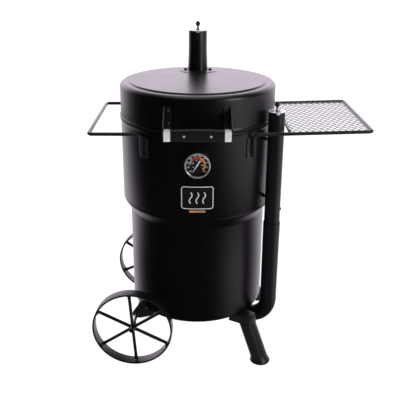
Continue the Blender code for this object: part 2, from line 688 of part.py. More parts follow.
def rod_route(side, reach):
    """One end plate's foot, up and out, along the far end, and back the same way."""
    x = side * ROD_X
    foot = ROD_Z - ROD_DROP
    return rounded_path([
        (x, -ROD_Y, foot), (x, -ROD_Y, ROD_Z), (side * (reach - ROD_RADIUS), -ROD_Y, ROD_Z),
        (side * (reach - ROD_RADIUS), ROD_Y, ROD_Z), (x, ROD_Y, ROD_Z), (x, ROD_Y, foot),
    ], (ROD_BEND, ROD_CORNER, ROD_CORNER, ROD_BEND))


def add_rod_plate(name, side, end, root):
    angle = math.atan2(ROD_Y, ROD_X) + PLATE_SHIFT / ROD_CLEAR
    reach = UPPER_RADIUS + GAP * 2 + BRACKET_SHEET / 2
    plate = add_part(name, box_mesh("rod_plate", (BRACKET_SHEET, PLATE_WIDTH, PLATE_HEIGHT)), BLACK_COAT,
                     root, (side * reach * math.cos(angle), end * reach * math.sin(angle),
                            ROD_Z - ROD_DROP + PLATE_HEIGHT / 2 - BRACKET_SHEET),
                     (0, 0, side * end * angle))
    round_edges(plate, PLATE_EDGE, 1)


def make_lifting_handle(root):
    curve = path_curve("side_handle_rod", rod_route(-1, HANDLE_ROD_REACH), ROD_RADIUS)
    add_part("side_handle_rod", curve, BLACK_COAT, root)
    add_rod_plate("side_handle_plate_front", -1, -1, root)
    add_rod_plate("side_handle_plate_rear", -1, 1, root)


def make_shelf(root):
    """The frame's outer run climbs from its bends at the drum, and the bar and mesh climb with it."""
    route = []
    for point in rod_route(1, SHELF_REACH):
        climb = max(point.x - ROD_X - ROD_BEND, 0) * math.tan(SHELF_TILT)
        route.append(point + Vector((0, 0, climb)))
    add_part("shelf_frame", path_curve("shelf_frame", route, ROD_RADIUS), BLACK_COAT, root)
    add_rod_plate("shelf_plate_front", 1, -1, root)
    add_rod_plate("shelf_plate_rear", 1, 1, root)
    bend_z = ROD_Z - (ROD_X + ROD_BEND) * math.tan(SHELF_TILT)
    deck = add_empty("shelf_deck", root, (0, 0, bend_z), (0, -SHELF_TILT, 0))
    half_y = ROD_Y - ROD_RADIUS - GAP
    bar = cylinder_mesh("shelf_crossbar", ROD_RADIUS * 0.85, -half_y, half_y)
    add_part("shelf_crossbar", bar, BLACK_COAT, deck, (SHELF_BAR_X, 0, 0), (math.pi / 2, 0, 0))
    left = SHELF_BAR_X + ROD_RADIUS + GAP
    right = SHELF_REACH - 2 * ROD_RADIUS - GAP - ROD_RADIUS / 2
    mesh = flat_curve("shelf_mesh", mesh_outlines(right - left, 2 * half_y - 2 * GAP), SHELF_MESH_THICK)
    add_part("shelf_mesh", mesh, MESH_STEEL, deck, ((left + right) / 2, 0, 0))


def mesh_outlines(width, depth):
    """A chamfered rectangle with staggered rows of diamonds that are longer along y."""
    half_x = width / 2
    half_y = depth / 2
    corner = ROD_CORNER
    edge = [(-half_x, -half_y), (half_x - corner, -half_y), (half_x, -half_y + corner),
            (half_x, half_y - corner), (half_x - corner, half_y), (-half_x, half_y)]
    rim_x = half_x - SHELF_MESH_EDGE
    rim_y = half_y - SHELF_MESH_EDGE
    columns = int(2 * rim_x / (MESH_PITCH_X / 2)) - 1
    rows = int(2 * rim_y / MESH_PITCH_Y)
    hole_x = MESH_PITCH_X / 2 - MESH_STRAND
    hole_y = MESH_PITCH_Y / 2 - MESH_STRAND
    outlines = [edge]
    for column in range(columns):
        x = (column - (columns - 1) / 2) * MESH_PITCH_X / 2
        count = rows - column % 2
        for row in range(count):
            y = (row - (count - 1) / 2) * MESH_PITCH_Y
            if abs(x) + hole_x < rim_x and abs(x) + abs(y) + hole_y < half_x + half_y - corner:
                outlines.append([(x - hole_x, y), (x, y - hole_y), (x + hole_x, y), (x, y + hole_y)])
    return outlines


def make_gauge(root):
    """The gauge looks forward: its own +Z runs out of the drum's front."""
    mount = add_empty("gauge_axis", root, (0, -UPPER_RADIUS, GAUGE_Z), (math.pi / 2, 0, 0))
    bore = GAUGE_RADIUS - GAUGE_WALL
    cup = GAUGE_NECK + GAUGE_WALL
    front = GAUGE_NECK + GAUGE_DEPTH
    turned_part("gauge_case", [
        (0, cup), (bore, cup), (bore, front), (GAUGE_RADIUS - GAUGE_WALL / 2, front + GAUGE_WALL / 2),
        (GAUGE_RADIUS, front), (GAUGE_RADIUS, GAUGE_NECK + GAUGE_WALL),
        (GAUGE_RADIUS - GAUGE_WALL, GAUGE_NECK),
        (GAUGE_STEM_RADIUS * 3, GAUGE_NECK), (GAUGE_STEM_RADIUS * 3, SHEET), (GAUGE_STEM_RADIUS, SHEET),
        (GAUGE_STEM_RADIUS, -GAUGE_STEM_LENGTH), (0, -GAUGE_STEM_LENGTH - GAUGE_STEM_RADIUS),
    ], CHROME, mount, steps=32, closed=False)
    face = bore - GAP
    dial_low = cup + GAP
    dial_top = dial_low + DIAL_THICK
    turned_part("gauge_dial", [(0, dial_top), (face, dial_top), (face, dial_low), (0, dial_low)],
                DIAL_BLACK, mount, steps=32, closed=False)
    lens_low = front - LENS_SEAT
    lens_top = lens_low + LENS_THICK
    turned_part("gauge_lens", [(0, lens_top), (face, lens_top), (face, lens_low), (0, lens_low)],
                GLASS, mount, steps=32, closed=False)
    pivot = add_empty("gauge_needle_pivot", mount, (0, 0, dial_top + DIAL_THICK), (0, 0, -GAUGE_NEEDLE_ANGLE))
    tail = GAUGE_NEEDLE_LENGTH * 0.6
    needle = [(0, GAUGE_NEEDLE_LENGTH), (-0.0014, 0.004), (-0.003, 0.003), (-0.004, 0), (-0.003, -0.003),
              (-0.0014, -0.004), (-0.0018, -tail), (0.0018, -tail), (0.0014, -0.004), (0.003, -0.003),
              (0.004, 0), (0.003, 0.003), (0.0014, 0.004)]
    add_part("gauge_needle", flat_curve("gauge_needle", [needle], GAUGE_NEEDLE_THICK), WHITE_PAINT, pivot)


def make_badge(root):
    """A plain rounded plaque bent to the drum's front."""
    reach = UPPER_RADIUS + GAP + BADGE_THICK / 2

    def build(bm):
        size = Matrix.Diagonal((BADGE_WIDTH, BADGE_THICK, BADGE_HEIGHT, 1))
        bmesh.ops.create_cube(bm, size=1, matrix=size)
        uprights = [edge for edge in bm.edges if abs(edge.verts[0].co.z - edge.verts[1].co.z) < GAP
                    and abs(edge.verts[0].co.y - edge.verts[1].co.y) > GAP]
        bmesh.ops.bevel(bm, geom=uprights, offset=BADGE_CORNER, segments=3, affect="EDGES", profile=0.5)
        for step in range(-4, 5):
            bmesh.ops.bisect_plane(bm, geom=bm.verts[:] + bm.edges[:] + bm.faces[:],
                                   plane_co=(step * BADGE_WIDTH / 10, 0, 0), plane_no=(1, 0, 0))
        for vertex in bm.verts:
            angle = vertex.co.x / reach
            radius = reach - vertex.co.y
            vertex.co.x = radius * math.sin(angle)
            vertex.co.y = -radius * math.cos(angle)
    add_part("badge_plate", mesh_from("badge_plate", build), BADGE_METAL, root, (0, 0, BADGE_Z))


def make_legs(base):
    # Each bracket's narrow side faces the air pipe.
    for side, label in ((-1, "front"), (1, "rear")):
        plane = add_empty(f"leg_{label}_plane", base, rotation=(0, 0, side * LEG_ANGLE))
        leg_low = FOOT_HEIGHT + GAP

        def build(bm):
            bmesh.ops.create_cone(bm, cap_ends=True, segments=24, radius1=LEG_RADIUS, radius2=LEG_RADIUS,
                                  depth=LEG_TOP - leg_low)
            slope = (LEG_TOP_REACH - LEG_FOOT_REACH) / (LEG_TOP - leg_low)
            for vertex in bm.verts:
                vertex.co.x += vertex.co.z * slope
        mesh = mesh_from(f"leg_{label}", build)
        shade_round(mesh)
        add_part(f"leg_{label}", mesh, BLACK_COAT, plane,
                 ((LEG_TOP_REACH + LEG_FOOT_REACH) / 2, 0, (LEG_TOP + leg_low) / 2))
        turned_part(f"leg_{label}_foot", [
            (0, FOOT_HEIGHT), (LEG_RADIUS, FOOT_HEIGHT), (FOOT_RADIUS, FOOT_HEIGHT * 0.3),
            (FOOT_RADIUS - FOOT_TAPER, 0), (0, 0),
        ], BLACK_PLASTIC, plane, (LEG_FOOT_REACH, 0, 0), steps=24, closed=False)
        outline = [(LEG_BRACKET_ROOT, side * LEG_BRACKET_SPREAD)]
        outline += arc((LEG_TOP_REACH, 0), LEG_BRACKET_NOSE, side * 60, side * -60, 8)
        outline += [(LEG_BRACKET_ROOT, side * -LEG_BRACKET_NARROW)]
        curve = flat_curve(f"leg_{label}_bracket", [outline], LEG_BRACKET_DEPTH)
        add_part(f"leg_{label}_bracket", curve, BLACK_COAT, plane,
                 (0, 0, DRUM_BOTTOM - GAP - LEG_BRACKET_DEPTH / 2))


def make_wheels(base):
    """The axle lies along the base's own y at wheel height, and each wheel spins on it."""
    axle = cylinder_mesh("axle", AXLE_RADIUS, -WHEEL_TRACK, WHEEL_TRACK)
    add_part("axle", axle, DARK_STEEL, base, (WHEEL_X, 0, WHEEL_RADIUS), (math.pi / 2, 0, 0))
    for side, label in ((-1, "front"), (1, "rear")):
        add_axle_bracket(f"axle_bracket_{label}", side, base)
        # The wheel's own +Z points outward along the axle.
        outward = (-side * math.pi / 2, 0, 0)
        middle = side * (WHEEL_TRACK - WHEEL_WIDTH / 2)
        wheel = add_empty(f"wheel_{label}_axis", base, (WHEEL_X, middle, WHEEL_RADIUS), outward)
        half = WHEEL_WIDTH / 2
        turned_part(f"wheel_{label}_rim", [
            (WHEEL_RADIUS, half), (WHEEL_RADIUS, -half), (RIM_INNER, -half), (RIM_INNER, half),
        ], BLACK_COAT, wheel, steps=DRUM_STEPS)
        add_spokes(f"wheel_{label}_spokes", wheel)
        cap_low = half + GAP
        cap = cylinder_mesh("axle_cap", AXLE_CAP_RADIUS, cap_low, cap_low + AXLE_CAP_LENGTH)
        add_part(f"axle_cap_{label}", cap, STEEL, wheel)


def add_spokes(name, wheel):
    """A star of flat bars joined to a hub that turns on the axle."""
    reach = RIM_INNER * math.cos(math.pi / DRUM_STEPS) - GAP
    tip = math.sqrt(reach ** 2 - (SPOKE_WIDTH / 2) ** 2)
    inset = SPOKE_WIDTH / 2 / math.tan(math.pi / SPOKES)
    star = []
    for index in range(SPOKES):
        turn_by = Matrix.Rotation(SPOKE_START + 2 * math.pi * index / SPOKES, 2)
        for x, y in ((tip, -SPOKE_WIDTH / 2), (tip, SPOKE_WIDTH / 2), (inset, SPOKE_WIDTH / 2)):
            star.append(turn_by @ Vector((x, y)))
    spokes = add_part(name, curve_as_mesh(name, flat_curve(name, [star], SPOKE_THICK)), BLACK_COAT, wheel)
    hub_half = HUB_LENGTH / 2
    hub = cylinder_mesh(name + "_hub", HUB_RADIUS, -hub_half, WHEEL_WIDTH / 2)
    combine(spokes, add_cutter(name + "_hub", hub, wheel), "UNION")
    bore = cylinder_mesh(name + "_bore", AXLE_RADIUS + GAP, -HUB_LENGTH, HUB_LENGTH)
    combine(spokes, add_cutter(name + "_bore", bore, wheel), "DIFFERENCE")


def add_axle_bracket(name, side, base):
    """A plate across the axle that hugs the drum's bottom corner."""
    inner_face = AXLE_BRACKET_Y - BRACKET_SHEET / 2
    wall = -math.sqrt(LOWER_RADIUS ** 2 - inner_face ** 2) - GAP
    under = DRUM_BOTTOM - GAP
    margin = AXLE_BRACKET_MARGIN
    outline = [
        (WHEEL_X - margin * 0.7, WHEEL_RADIUS - margin * 0.7), (WHEEL_X - margin, WHEEL_RADIUS),
        (WHEEL_X - margin * 0.8, WHEEL_RADIUS + margin * 0.7),
        (wall - margin, under + AXLE_BRACKET_RISE), (wall, under + AXLE_BRACKET_RISE),
        (wall, under), (AXLE_BRACKET_INNER_X, under), (AXLE_BRACKET_INNER_X, under - margin),
        (WHEEL_X + margin, WHEEL_RADIUS - margin), (WHEEL_X, WHEEL_RADIUS - margin),
    ]
    hole = circle((WHEEL_X, WHEEL_RADIUS), AXLE_RADIUS + GAP, 16)
    mesh = curve_as_mesh(name, flat_curve(name, [outline, hole], BRACKET_SHEET))
    mesh.transform(Matrix.Rotation(math.pi / 2, 4, "X"))
    add_part(name, mesh, BLACK_COAT, base, (0, side * AXLE_BRACKET_Y, 0))


def make_inside(root):
    grate_radius = UPPER_RADIUS - SHEET - GRATE_CLEARANCE
    add_part("cooking_grate", flat_curve("cooking_grate", grate_outlines(grate_radius), GRATE_THICK), ENAMEL,
             root, (0, 0, GRATE_Z))
    hanger_x = UPPER_RADIUS - SHEET - HANGER_GAP - HANGER_LENGTH / 2
    hanger_z = GRATE_Z - GRATE_THICK / 2 - GAP - HANGER_THICK / 2
    for index in range(HANGERS):
        spin = 2 * math.pi * (index + 0.25) / HANGERS
        plane = add_empty(f"grate_hanger_{index + 1}_plane", root, rotation=(0, 0, spin))
        add_part(f"grate_hanger_{index + 1}", box_mesh("hanger", (HANGER_LENGTH, HANGER_WIDTH, HANGER_THICK)),
                 DARK_STEEL, plane, (hanger_x, 0, hanger_z))
    pan_low = FLOOR_TOP + GAP + PAN_LEG_HEIGHT
    pan = turned_part("ash_pan", [
        (PAN_RADIUS, pan_low + PAN_HEIGHT), (PAN_RADIUS - PAN_HEIGHT / 4, pan_low), (0, pan_low),
        (0, pan_low + INNER_SHEET), (PAN_RADIUS - PAN_HEIGHT / 4 - INNER_SHEET, pan_low + INNER_SHEET),
        (PAN_RADIUS - INNER_SHEET, pan_low + PAN_HEIGHT),
    ], ENAMEL, root, steps=32)
    places = [(PAN_LEG_REACH * math.cos(a), PAN_LEG_REACH * math.sin(a))
              for a in [2 * math.pi * index / 3 for index in range(3)]]
    legs = cylinder_mesh("pan_legs", PAN_LEG_RADIUS, FLOOR_TOP + GAP, pan_low + INNER_SHEET / 2, steps=12,
                         centres=places)
    combine(pan, add_cutter("pan_legs", legs, root), "UNION")
    basket_low = pan_low + INNER_SHEET + GAP
    turned_part("charcoal_basket", [
        (BASKET_RADIUS, basket_low + BASKET_HEIGHT), (BASKET_RADIUS, basket_low), (0, basket_low),
        (0, basket_low + INNER_SHEET), (BASKET_RADIUS - INNER_SHEET, basket_low + INNER_SHEET),
        (BASKET_RADIUS - INNER_SHEET, basket_low + BASKET_HEIGHT),
    ], DARK_STEEL, root, steps=32)


def grate_outlines(radius):
    """A disc with rows of long slots, split by one rib across the middle."""
    outlines = [circle((0, 0), radius, DRUM_STEPS)]
    pitch = GRATE_BAR + GRATE_SLOT
    rows = int((2 * radius - 4 * GRATE_RIB) / pitch)
    for row in range(rows):
        y = (row - (rows - 1) / 2) * pitch
        far_y = abs(y) + GRATE_SLOT / 2
        end = math.sqrt((radius - GRATE_RIB * 1.5) ** 2 - far_y ** 2)
        for low, high in ((-end, -GRATE_RIB / 2), (GRATE_RIB / 2, end)):
            outlines.append([(low, y - GRATE_SLOT / 2), (high, y - GRATE_SLOT / 2),
                             (high, y + GRATE_SLOT / 2), (low, y + GRATE_SLOT / 2)])
    return outlines


def centre_on_ground(root):
    """Moves the whole smoker so that its box stands on z = 0, centred on x = y = 0."""
    bpy.context.view_layer.update()
    graph = bpy.context.evaluated_depsgraph_get()
    corners = []
    for obj in smoker.objects:
        if obj.type != "EMPTY":
            shown = obj.evaluated_get(graph)
            mesh = shown.to_mesh()
            corners += [shown.matrix_world @ vertex.co for vertex in mesh.vertices]
            shown.to_mesh_clear()
    low = [min(corner[axis] for corner in corners) for axis in range(3)]
    high = [max(corner[axis] for corner in corners) for axis in range(3)]
    root.location = (-(low[0] + high[0]) / 2, -(low[1] + high[1]) / 2, -low[2])


def main():
    clear_scene()
    root = add_empty("smoker_axis", None)
    base = add_empty("base_plane", root, rotation=(0, 0, BASE_TURN))
    make_drum(root)
    make_air_pipe(root)
    make_lid(root)
    make_lifting_handle(root)
    make_shelf(root)
    make_gauge(root)
    make_badge(root)
    make_legs(base)
    make_wheels(base)
    make_inside(root)
    centre_on_ground(root)


main()
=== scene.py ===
import json
import math

import bmesh
import bpy
import numpy as np
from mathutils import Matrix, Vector


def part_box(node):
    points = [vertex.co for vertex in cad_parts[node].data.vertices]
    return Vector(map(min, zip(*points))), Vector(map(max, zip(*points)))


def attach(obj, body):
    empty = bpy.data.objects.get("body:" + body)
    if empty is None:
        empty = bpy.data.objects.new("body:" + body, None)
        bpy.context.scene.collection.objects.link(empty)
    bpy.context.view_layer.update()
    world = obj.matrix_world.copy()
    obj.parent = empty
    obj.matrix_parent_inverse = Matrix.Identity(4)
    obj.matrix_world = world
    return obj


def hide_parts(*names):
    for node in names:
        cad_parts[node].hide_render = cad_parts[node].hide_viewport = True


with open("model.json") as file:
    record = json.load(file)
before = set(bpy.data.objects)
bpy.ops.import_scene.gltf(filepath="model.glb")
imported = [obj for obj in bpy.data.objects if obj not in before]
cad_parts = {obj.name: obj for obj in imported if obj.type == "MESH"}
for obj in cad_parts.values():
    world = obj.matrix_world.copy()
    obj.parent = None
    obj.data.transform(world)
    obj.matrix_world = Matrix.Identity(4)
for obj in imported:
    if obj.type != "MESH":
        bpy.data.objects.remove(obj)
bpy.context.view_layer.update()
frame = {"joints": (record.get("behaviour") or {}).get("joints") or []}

print("frame loaded")


def boxOf(node):
    return [np.array(corner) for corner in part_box(node)]


def middleOf(node):
    low, high = boxOf(node)
    return (low + high) / 2


def halfWidth(node):
    low, high = boxOf(node)
    return (high[0] - low[0]) / 2


def unit(vector):
    return vector / np.linalg.norm(vector, axis=-1, keepdims=True)


def tangentsOf(path):
    return unit(np.gradient(path, axis=0))


# The level direction that points out of the drum, at an angle from its front.
def wayAt(angle):
    return np.array([math.sin(angle), -math.cos(angle), 0])


def joint(name):
    return next(item for item in frame["joints"] if item["name"] == name)


def jointPlace(name):
    return np.array(joint(name)["pos_m"], float)


def jointAxis(name):
    return unit(np.array(joint(name)["axis"], float))


drumAxis = middleOf("drum_upper_shell") * (1, 1, 0)


# A grid of points becomes quads between neighbours; acrossClosed joins the last column to the first.
def gridSurface(grid, alongClosed=False, acrossClosed=True):
    rows, columns = grid.shape[:2]
    index = np.arange(rows * columns).reshape(rows, columns)
    down = np.roll(index, -1, axis=0) if alongClosed else index[1:]
    here = index if alongClosed else index[:-1]
    if acrossClosed:
        quads = np.stack([here, np.roll(here, -1, 1), np.roll(down, -1, 1), down], -1)
    else:
        quads = np.stack([here[:, :-1], here[:, 1:], down[:, 1:], down[:, :-1]], -1)
    return grid.reshape(-1, 3), quads.reshape(-1, 4)


# Several surfaces in one list of points and faces, the faces of each counted from its own points.
def together(*surfaces):
    points, faces, count = [], [], 0
    for surfacePoints, surfaceFaces in surfaces:
        points.append(surfacePoints)
        faces.append(surfaceFaces + count)
        count += len(surfacePoints)
    return np.concatenate(points), np.concatenate(faces)


# The signed volume is a sixth of the sum of a . (b x c) over the triangles; below zero is inside out.
def outward(surface):
    points, faces = surface
    corners = points[faces] - points.mean(0)
    volume = np.einsum("ij,ij->i", corners[:, 0], np.cross(corners[:, 1], corners[:, 2])).sum()
    volume += np.einsum("ij,ij->i", corners[:, 0], np.cross(corners[:, 2], corners[:, 3])).sum()
    return points, faces if volume > 0 else faces[:, ::-1]


# A profile of (radius, height), carried round the z axis: x = r cos t, y = r sin t.
# A profile that starts and ends on the axis stays open, and any other one is closed.
def turned(profile, steps=96):
    profile = np.asarray(profile, float)
    angle = np.linspace(0, 2 * np.pi, steps, endpoint=False)
    radius, height = profile[:, :1], profile[:, 1:]
    grid = np.stack([radius * np.cos(angle), radius * np.sin(angle), height + 0 * angle], -1)
    return outward(gridSurface(grid, alongClosed=max(radius[0, 0], radius[-1, 0]) > 1e-6))


# A round bar along a path: each point gets a ring in the plane square to the path.
# The ends shrink to points.
def bar(path, radius, sides=14, chamfer=0.0006, lean=(0, 0, 1), closed=False, flat=1.0):
    path = np.asarray(path, float)
    if closed:
        tangent = np.roll(path, -1, 0) - np.roll(path, 1, 0)
        radii = np.full(len(path), radius)
    else:
        tangent = np.gradient(path, axis=0)
        first, last = unit(tangent[0]), unit(tangent[-1])
        path = np.concatenate([[path[0]] * 2, [path[0] + first * chamfer], path[1:-1], [path[-1] - last
            * chamfer], [path[-1]] * 2])
        tangent = np.concatenate([[first] * 3, tangent[1:-1], [last] * 3])
        radii = np.concatenate([[0, radius - chamfer], [radius] * (len(path) - 4), [radius - chamfer, 0]])
    tangent = unit(tangent)
    side = unit(np.cross(tangent, lean))
    other = np.cross(tangent, side)
    angle = np.linspace(0, 2 * np.pi, sides, endpoint=False)[None, :, None]
    ring = side[:, None] * np.cos(angle) + flat * other[:, None] * np.sin(angle)
    return outward(gridSurface(path[:, None] + ring * radii[:, None, None], alongClosed=closed))


# A plate between two loops of points: a bevelled edge all round, and a hole where an inner loop is given.
def plate(outline, thick, bevel=0.0005, hole=None):
    outline = np.asarray(outline, float)
    centre = outline.mean(0)
    inner = np.repeat(centre[None], len(outline), 0) if hole is None else np.asarray(hole, float)
    inward = inner - outline
    inward /= np.maximum(np.linalg.norm(inward, axis=1, keepdims=True), 1e-9)
    inset = outline + inward * bevel
    loops = [(inner, thick), (inset, thick), (outline, thick - bevel), (outline, bevel), (inset, 0), (inner,
        0)]
    grid = np.stack([lifted(loop, height) for loop, height in loops])
    return outward(gridSurface(grid, alongClosed=hole is not None))


# A flat sheet between loops: the first is its outline, and the rest are holes through it.
def cutPlate(loops, thick):
    work = bmesh.new()
    edges = []
    for loop in loops:
        corners = [work.verts.new((x, y, 0)) for x, y in loop]
        edges += [work.edges.new((a, b)) for a, b in zip(corners, corners[1:] + corners[:1])]
    bmesh.ops.triangle_fill(work, use_beauty=True, use_dissolve=False, edges=edges)
    work.verts.ensure_lookup_table()
    points = np.array([vertex.co[:] for vertex in work.verts])
    faces = np.array([[corner.index for corner in face.verts] for face in work.faces])
    rim = np.array([[corner.vert.index, corner.link_loop_next.vert.index] for edge in work.edges
        if len(edge.link_faces) == 1 for corner in edge.link_loops])
    ups = np.array([face.normal.z > 0 for face in work.faces])
    edgeUps = np.array([edge.link_faces[0].normal.z > 0 for edge in work.edges if len(edge.link_faces) == 1])
    work.free()
    faces = np.where(ups[:, None], faces, faces[:, ::-1])
    rim = np.where(edgeUps[:, None], rim, rim[:, ::-1])
    count = len(points)
    topFaces = np.column_stack([faces, faces[:, 2]])
    bottomFaces = np.column_stack([faces[:, ::-1], faces[:, 0]]) + count
    walls = np.column_stack([rim[:, 1], rim[:, 0], rim[:, 0] + count, rim[:, 1] + count])
    return np.concatenate([points + (0, 0, thick), points]), np.concatenate([topFaces, bottomFaces, walls])


# Points along straight runs, with an arc tangent to both runs at each inner corner.
def softPath(corners, radii, steps=10):
    corners = [np.asarray(corner, float) for corner in corners]
    path = [corners[0][None]]
    for before, corner, after, radius in zip(corners, corners[1:], corners[2:], radii):
        back, ahead = before - corner, after - corner
        back, ahead = unit(back), unit(ahead)
        half = math.acos(float(np.clip(back @ ahead, -1, 1))) / 2
        start = corner + back * radius / math.tan(half)
        centre = corner + unit(back + ahead) * radius / math.sin(half)
        fromCentre = (start - centre) / radius
        sweep = np.linspace(0, math.pi - 2 * half, steps)[:, None]
        path.append(centre + radius * (fromCentre * np.cos(sweep) - back * np.sin(sweep)))
    path.append(corners[-1][None])
    return np.concatenate(path)


# Evenly spaced points between the corners of a closed outline, with each corner cut to an arc.
def roundOutline(corners, radius, steps=5):
    corners = np.asarray(corners, float)
    loop = np.concatenate([corners, corners[:2]])
    radii = [radius] * len(corners) if np.isscalar(radius) else list(radius[1:]) + [radius[0]]
    return softPath(loop, radii, steps)[1:-1]


def arcPoints(centre, radius, start, end, steps=8):
    angle = np.radians(np.linspace(start, end, steps))
    return np.column_stack([centre[0] + radius * np.cos(angle), centre[1] + radius * np.sin(angle)])


def circlePoints(radius, steps, centre=(0, 0)):
    return arcPoints(centre, radius, 0, 360 - 360 / steps, steps)


def lifted(loop, height):
    return np.column_stack([loop, np.full(len(loop), height)])


# Lays a shape's own x, y and z along three directions from a place.
def framed(shape, along, across, up, place):
    along, across, up, place = (np.asarray(item, float) for item in (along, across, up, place))
    return shape[..., :1] * along + shape[..., 1:2] * across + shape[..., 2:] * up + place


# Moves a surface so that its own z points along the given direction and its origin sits at the place.
def aimed(surface, place, along, across=(0, 0, 1)):
    points, faces = surface
    along = np.asarray(along, float) / np.linalg.norm(along)
    right = np.cross(np.asarray(across, float), along)
    if np.linalg.norm(right) < 1e-6:
        right = np.array([1.0, 0, 0])
    right /= np.linalg.norm(right)
    up = np.cross(along, right)
    return points @ np.stack([right, up, along]) + np.asarray(place, float), faces


def moved(surface, offset):
    return surface[0] + np.asarray(offset, float), surface[1]


# Wraps a flat surface round the drum: x becomes arc length from the angle, y becomes height,
# and z becomes the distance out.
def wrapped(surface, radius, angle, height):
    points, faces = surface
    around = angle + points[:, 0] / radius
    out = radius + points[:, 2]
    wrappedPoints = np.column_stack([out * np.sin(around), -out * np.cos(around), height + points[:, 1]])
    return wrappedPoints + drumAxis, faces


# A pan head with a cross recess: height falls as a dome, less a cross-shaped pit near the middle.
def screwHead(radius, height, place, along, turnBy=0.4):
    ring = np.concatenate([np.linspace(0, 1, 12), [1.0]])
    angle = np.linspace(0, 2 * np.pi, 40, endpoint=False)
    rise = height * np.sqrt(np.maximum(1 - ring ** 2.6, 0))
    rise[-1] = -height * 0.3
    x, y = np.outer(ring, np.cos(angle + turnBy)) * radius, np.outer(ring, np.sin(angle + turnBy)) * radius
    arm = np.minimum(np.abs(x), np.abs(y)) / radius
    depth = np.clip(1 - arm / 0.16, 0, 1) * np.clip(1 - ring[:, None] / 0.62, 0, 1) ** 0.5
    grid = np.stack([x, y, rise[:, None] - depth * height * 0.7], -1)
    floor = np.stack([0 * x[0], 0 * y[0], np.full(40, -height * 0.3)], -1)[None]
    return aimed(outward(gridSurface(np.concatenate([grid, floor]))), place, along)


# A hexagon nut or bolt head: six flats, with the top corners turned down.
def hexHead(radius, height, place, along):
    angle = np.radians(np.arange(0, 360, 10))
    flat = radius * math.cos(math.pi / 6) / np.cos((angle + math.pi / 6) % (math.pi / 3) - math.pi / 6)
    cone = np.minimum(flat, radius * 0.93)
    loops = [(0 * flat, height), (cone * 0.93, height), (flat, height * 0.82), (flat, 0.0), (0 * flat, 0.0)]
    grid = np.stack([np.column_stack([r * np.cos(angle), r * np.sin(angle), 0 * r + z]) for r, z in loops])
    return aimed(outward(gridSurface(grid)), place, along)


# Each piece takes the material of its finish. Faces that meet at more than the smooth angle get a sharp edge.
def makePiece(name, surface, finish, node=None, body="drum", smooth=35):
    points, faces = surface
    material, ownSlot = finishes[finish]
    mesh = bpy.data.meshes.new(name)
    # A triangle is stored as a quad whose last corner, or first after a flip, is repeated.
    ahead, behind = faces[:, 2] == faces[:, 3], faces[:, 0] == faces[:, 1]
    triangles = faces[ahead][:, :3].tolist() + faces[behind][:, 1:].tolist()
    mesh.from_pydata(points.tolist(), [], faces[~(ahead | behind)].tolist() + triangles)
    work = bmesh.new()
    work.from_mesh(mesh)
    bmesh.ops.remove_doubles(work, verts=work.verts, dist=1e-6)
    bmesh.ops.dissolve_degenerate(work, edges=work.edges, dist=1e-7)
    work.to_mesh(mesh)
    work.free()
    mesh.shade_smooth()
    mesh.set_sharp_from_angle(angle=math.radians(smooth))
    mesh.materials.append(material)
    piece = bpy.data.objects.new(name, mesh)
    bpy.context.scene.collection.objects.link(piece)
    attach(piece, body)
    if node:
        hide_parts(node)


def nodeMaker(owner, shaderName="Principled BSDF"):
    tree = owner.node_tree

    def add(kind, **settings):
        node = tree.nodes.new(kind)
        for key, value in settings.items():
            if key in node.inputs:
                node.inputs[key].default_value = value
            else:
                setattr(node, key, value)
        return node
    return add, tree.links.new, tree.nodes[shaderName]


# A finish from two noises: a broad one shifts colour and roughness, a fine one raises the grain.
def makeFinish(name, colour, rough, metal=0.0, colourSpread=0.15, roughSpread=0.06, blotch=9.0, grain=900.0,
        grainDepth=0.03, stretch=(1, 1, 1), coat=0.0, specular=0.5, anisotropic=0.0):
    material = bpy.data.materials.new(name)
    material.use_nodes = True
    add, link, shader = nodeMaker(material)
    place = add("ShaderNodeTexCoord").outputs["Object"]
    broad = add("ShaderNodeTexNoise", Scale=blotch, Detail=4.0, Roughness=0.6)
    link(place, broad.inputs["Vector"])
    tones = add("ShaderNodeValToRGB")
    for stop, position, change in zip(tones.color_ramp.elements, (0.3, 0.7), (-colourSpread, colourSpread)):
        stop.position = position
        stop.color = (*[min(1, value * (1 + change)) for value in colour], 1)
    link(broad.outputs["Fac"], tones.inputs["Fac"])
    link(tones.outputs["Color"], shader.inputs["Base Color"])
    sheen = add("ShaderNodeMapRange", **{"To Min": max(rough - roughSpread, 0.02), "To Max": rough
        + roughSpread})
    link(broad.outputs["Fac"], sheen.inputs["Value"])
    link(sheen.outputs["Result"], shader.inputs["Roughness"])
    scale = add("ShaderNodeMapping", Scale=stretch)
    link(place, scale.inputs["Vector"])
    fine = add("ShaderNodeTexNoise", Scale=grain, Detail=2.0)
    link(scale.outputs["Vector"], fine.inputs["Vector"])
    bump = add("ShaderNodeBump", Strength=grainDepth, Distance=0.001)
    link(fine.outputs["Fac"], bump.inputs["Height"])
    link(bump.outputs["Normal"], shader.inputs["Normal"])
    for key, value in (("Metallic", metal), ("Specular IOR Level", specular), ("Coat Weight", coat),
                       ("Coat Roughness", 0.1), ("Anisotropic", anisotropic)):
        shader.inputs[key].default_value = value
    return material


